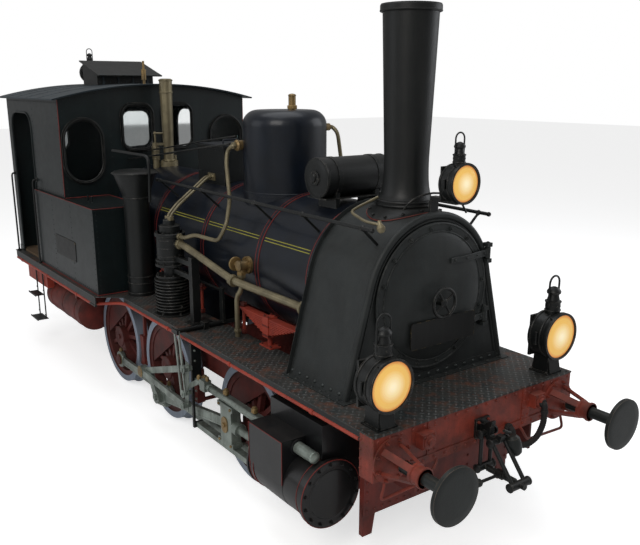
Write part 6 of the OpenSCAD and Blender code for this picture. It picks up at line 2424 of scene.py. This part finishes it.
@dataclass
class Studio:
    """Camera, soft lamps, pale floor and white surroundings."""

    place: tuple[float, float, float] = (7.1305, -4.002, 3.477)
    yaw: float = radians(144.34)
    pitch: float = radians(-15.15)
    lens: float = 42.67
    shift: tuple[float, float] = (0.0145, 0.0288)
    grey: float = 0.30

    def camera(self) -> None:
        """Set the camera up where the locomotive is seen from the right front."""
        ahead = Vector(
            (cos(self.pitch) * cos(self.yaw), cos(self.pitch) * sin(self.yaw), sin(self.pitch))
        )
        data = bpy.data.cameras.new("camera")
        data.sensor_width = 36.0
        data.lens = self.lens
        data.shift_x, data.shift_y = self.shift
        camera = bpy.data.objects.new("camera", data)
        camera.rotation_mode = "QUATERNION"
        camera.rotation_quaternion = ahead.to_track_quat("-Z", "Y")
        camera.location = self.place
        bpy.context.collection.objects.link(camera)
        bpy.context.scene.camera = camera

    def lamp(self, name: str, place: Any, size: float, power: float, colour: Colour) -> None:
        """Hang one square soft lamp that faces the locomotive's middle."""
        data = bpy.data.lights.new(name, "AREA")
        data.size = size
        data.energy = power
        data.color = colour
        lamp = bpy.data.objects.new(name, data)
        lamp.location = place
        lamp.rotation_mode = "QUATERNION"
        lamp.rotation_quaternion = (Vector((0, 0, 1.6)) - Vector(place)).to_track_quat("-Z", "Y")
        bpy.context.collection.objects.link(lamp)

    def floor(self) -> None:
        """Lay the pale floor, white to the camera where nothing shades it."""
        far = 60.0
        points = np.array(
            [[(-far, -far, 0), (-far, far, 0)], [(far, -far, 0), (far, far, 0)]], float
        )
        mesh = bpy.data.meshes.new("floor")
        surface = grid(points)
        mesh.from_pydata(surface.points.tolist(), [], surface.faces)
        floor = bpy.data.objects.new("floor", mesh)
        bpy.context.collection.objects.link(floor)
        material = bpy.data.materials.new("floor")
        material.use_nodes = True
        nodes = Nodes(material.node_tree)
        shader = nodes.add("BsdfPrincipled", {"Base Color": (0.8, 0.8, 0.8), "Roughness": 0.9})
        seen = nodes.add("LightPath").outputs["Is Camera Ray"]
        nodes.put(shader.inputs["Emission Color"], (1.0, 1.0, 1.0))
        nodes.put(shader.inputs["Emission Strength"], nodes.math("MULTIPLY", seen, 0.62))
        out = nodes.add("OutputMaterial")
        material.node_tree.links.new(shader.outputs[0], out.inputs[0])
        mesh.materials.append(material)

    def world(self) -> None:
        """Surround everything with white to the camera and to gloss, grey to the rest."""
        world = bpy.data.worlds.new("surroundings")
        world.use_nodes = True
        bpy.context.scene.world = world
        nodes = Nodes(world.node_tree)
        path = nodes.add("LightPath")
        bright = nodes.math(
            "MAXIMUM", path.outputs["Is Camera Ray"], path.outputs["Is Transmission Ray"]
        )
        gloss = nodes.math("MULTIPLY", path.outputs["Is Glossy Ray"], 0.20)
        level = nodes.math("MAXIMUM", nodes.math("MAXIMUM", bright, gloss), self.grey)
        back = nodes.add("Background", {"Color": (1.0, 1.0, 1.0), "Strength": level})
        out = nodes.add("OutputWorld")
        world.node_tree.links.new(back.outputs[0], out.inputs[0])

    def build(self) -> None:
        """Set the whole studio up."""
        self.camera()
        self.floor()
        self.world()
        warm, cool = (1.0, 0.97, 0.93), (0.93, 0.96, 1.0)
        self.lamp("key", (7.0, -9.0, 9.0), 6.0, 560.0, warm)
        self.lamp("side", (-4.0, -11.0, 6.0), 7.0, 170.0, cool)
        self.lamp("top", (0.0, 0.0, 12.0), 9.0, 480.0, cool)
        self.lamp("left", (5.0, 10.0, 6.0), 7.0, 280.0, cool)
        bpy.context.scene.view_settings.view_transform = "Standard"


DRESS: tuple[tuple[Finish, tuple[str, ...]], ...] = (
    (Finishes.FRAME_RED, ("frame_plates", "air_tanks", "leaf_springs", "brake_gear")),
    (Finishes.BEAM_RED, ("front_buffer_beam", "rear_buffer_beam", "buffer_housings")),
    (Finishes.WHEEL_RED, ("wheelset_front", "wheelset_driving", "wheelset_rear")),
    (Finishes.BOARD, ("running_board",)),
    (Finishes.CYLINDER, ("cylinder_right", "cylinder_left")),
    (
        Finishes.STEEL,
        (
            "slide_bars_right", "slide_bars_left", "valve_gear_right", "valve_gear_left",
            "coupling_rod_right", "coupling_rod_left", "connecting_rod_right",
            "connecting_rod_left", "crosshead_right", "crosshead_left",
        ),
    ),
    (Finishes.DISC, ("buffer_heads",)),
    (Finishes.RUBBER, ("brake_hoses",)),
    (
        Finishes.BLACK_IRON,
        (
            "cab_steps", "sandbox", "air_reservoir", "air_pump", "water_fillers",
            "handrails", "roof_ventilator", "cab_controls", "platform_lamps", "smokebox_lamp",
            "rear_lamp", "reversing_shaft", "screw_couplings",
        ),
    ),
    (Finishes.BOILER, ("boiler", "firebox", "dome")),
    (Finishes.SMOKEBOX, ("smokebox", "smokebox_door")),
    (Finishes.CHIMNEY, ("chimney",)),
    (Finishes.BRASS, ("boiler_valves", "whistle")),
    (Finishes.PIPE, ("steam_pipes", "safety_valve")),
    (
        Finishes.CAB,
        ("bunker_right", "bunker_left", "cab_front", "cab_side_right", "cab_side_left", "cab_rear"),
    ),
    (Finishes.ROOF, ("cab_roof",)),
    (Finishes.WOOD, ("cab_floor",)),
    (Finishes.PANE, ("cab_windows",)),
    (Finishes.LENS, ("lamp_glasses",)),
)


def main() -> None:
    """Load the frame, dress it, add every fitting, and set the studio up."""
    logging.basicConfig(level=logging.INFO, format="%(name)s: %(message)s")
    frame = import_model()
    Studio().build()
    shop = Workshop(frame)
    for finish, nodes in DRESS:
        for node in nodes:
            shop.dress(node, finish, 0.0 if finish is Finishes.PANE else EDGE_BEVEL)
    for fitting in FITTINGS:
        fitting(shop).build()


if __name__ == "__main__":
    main()
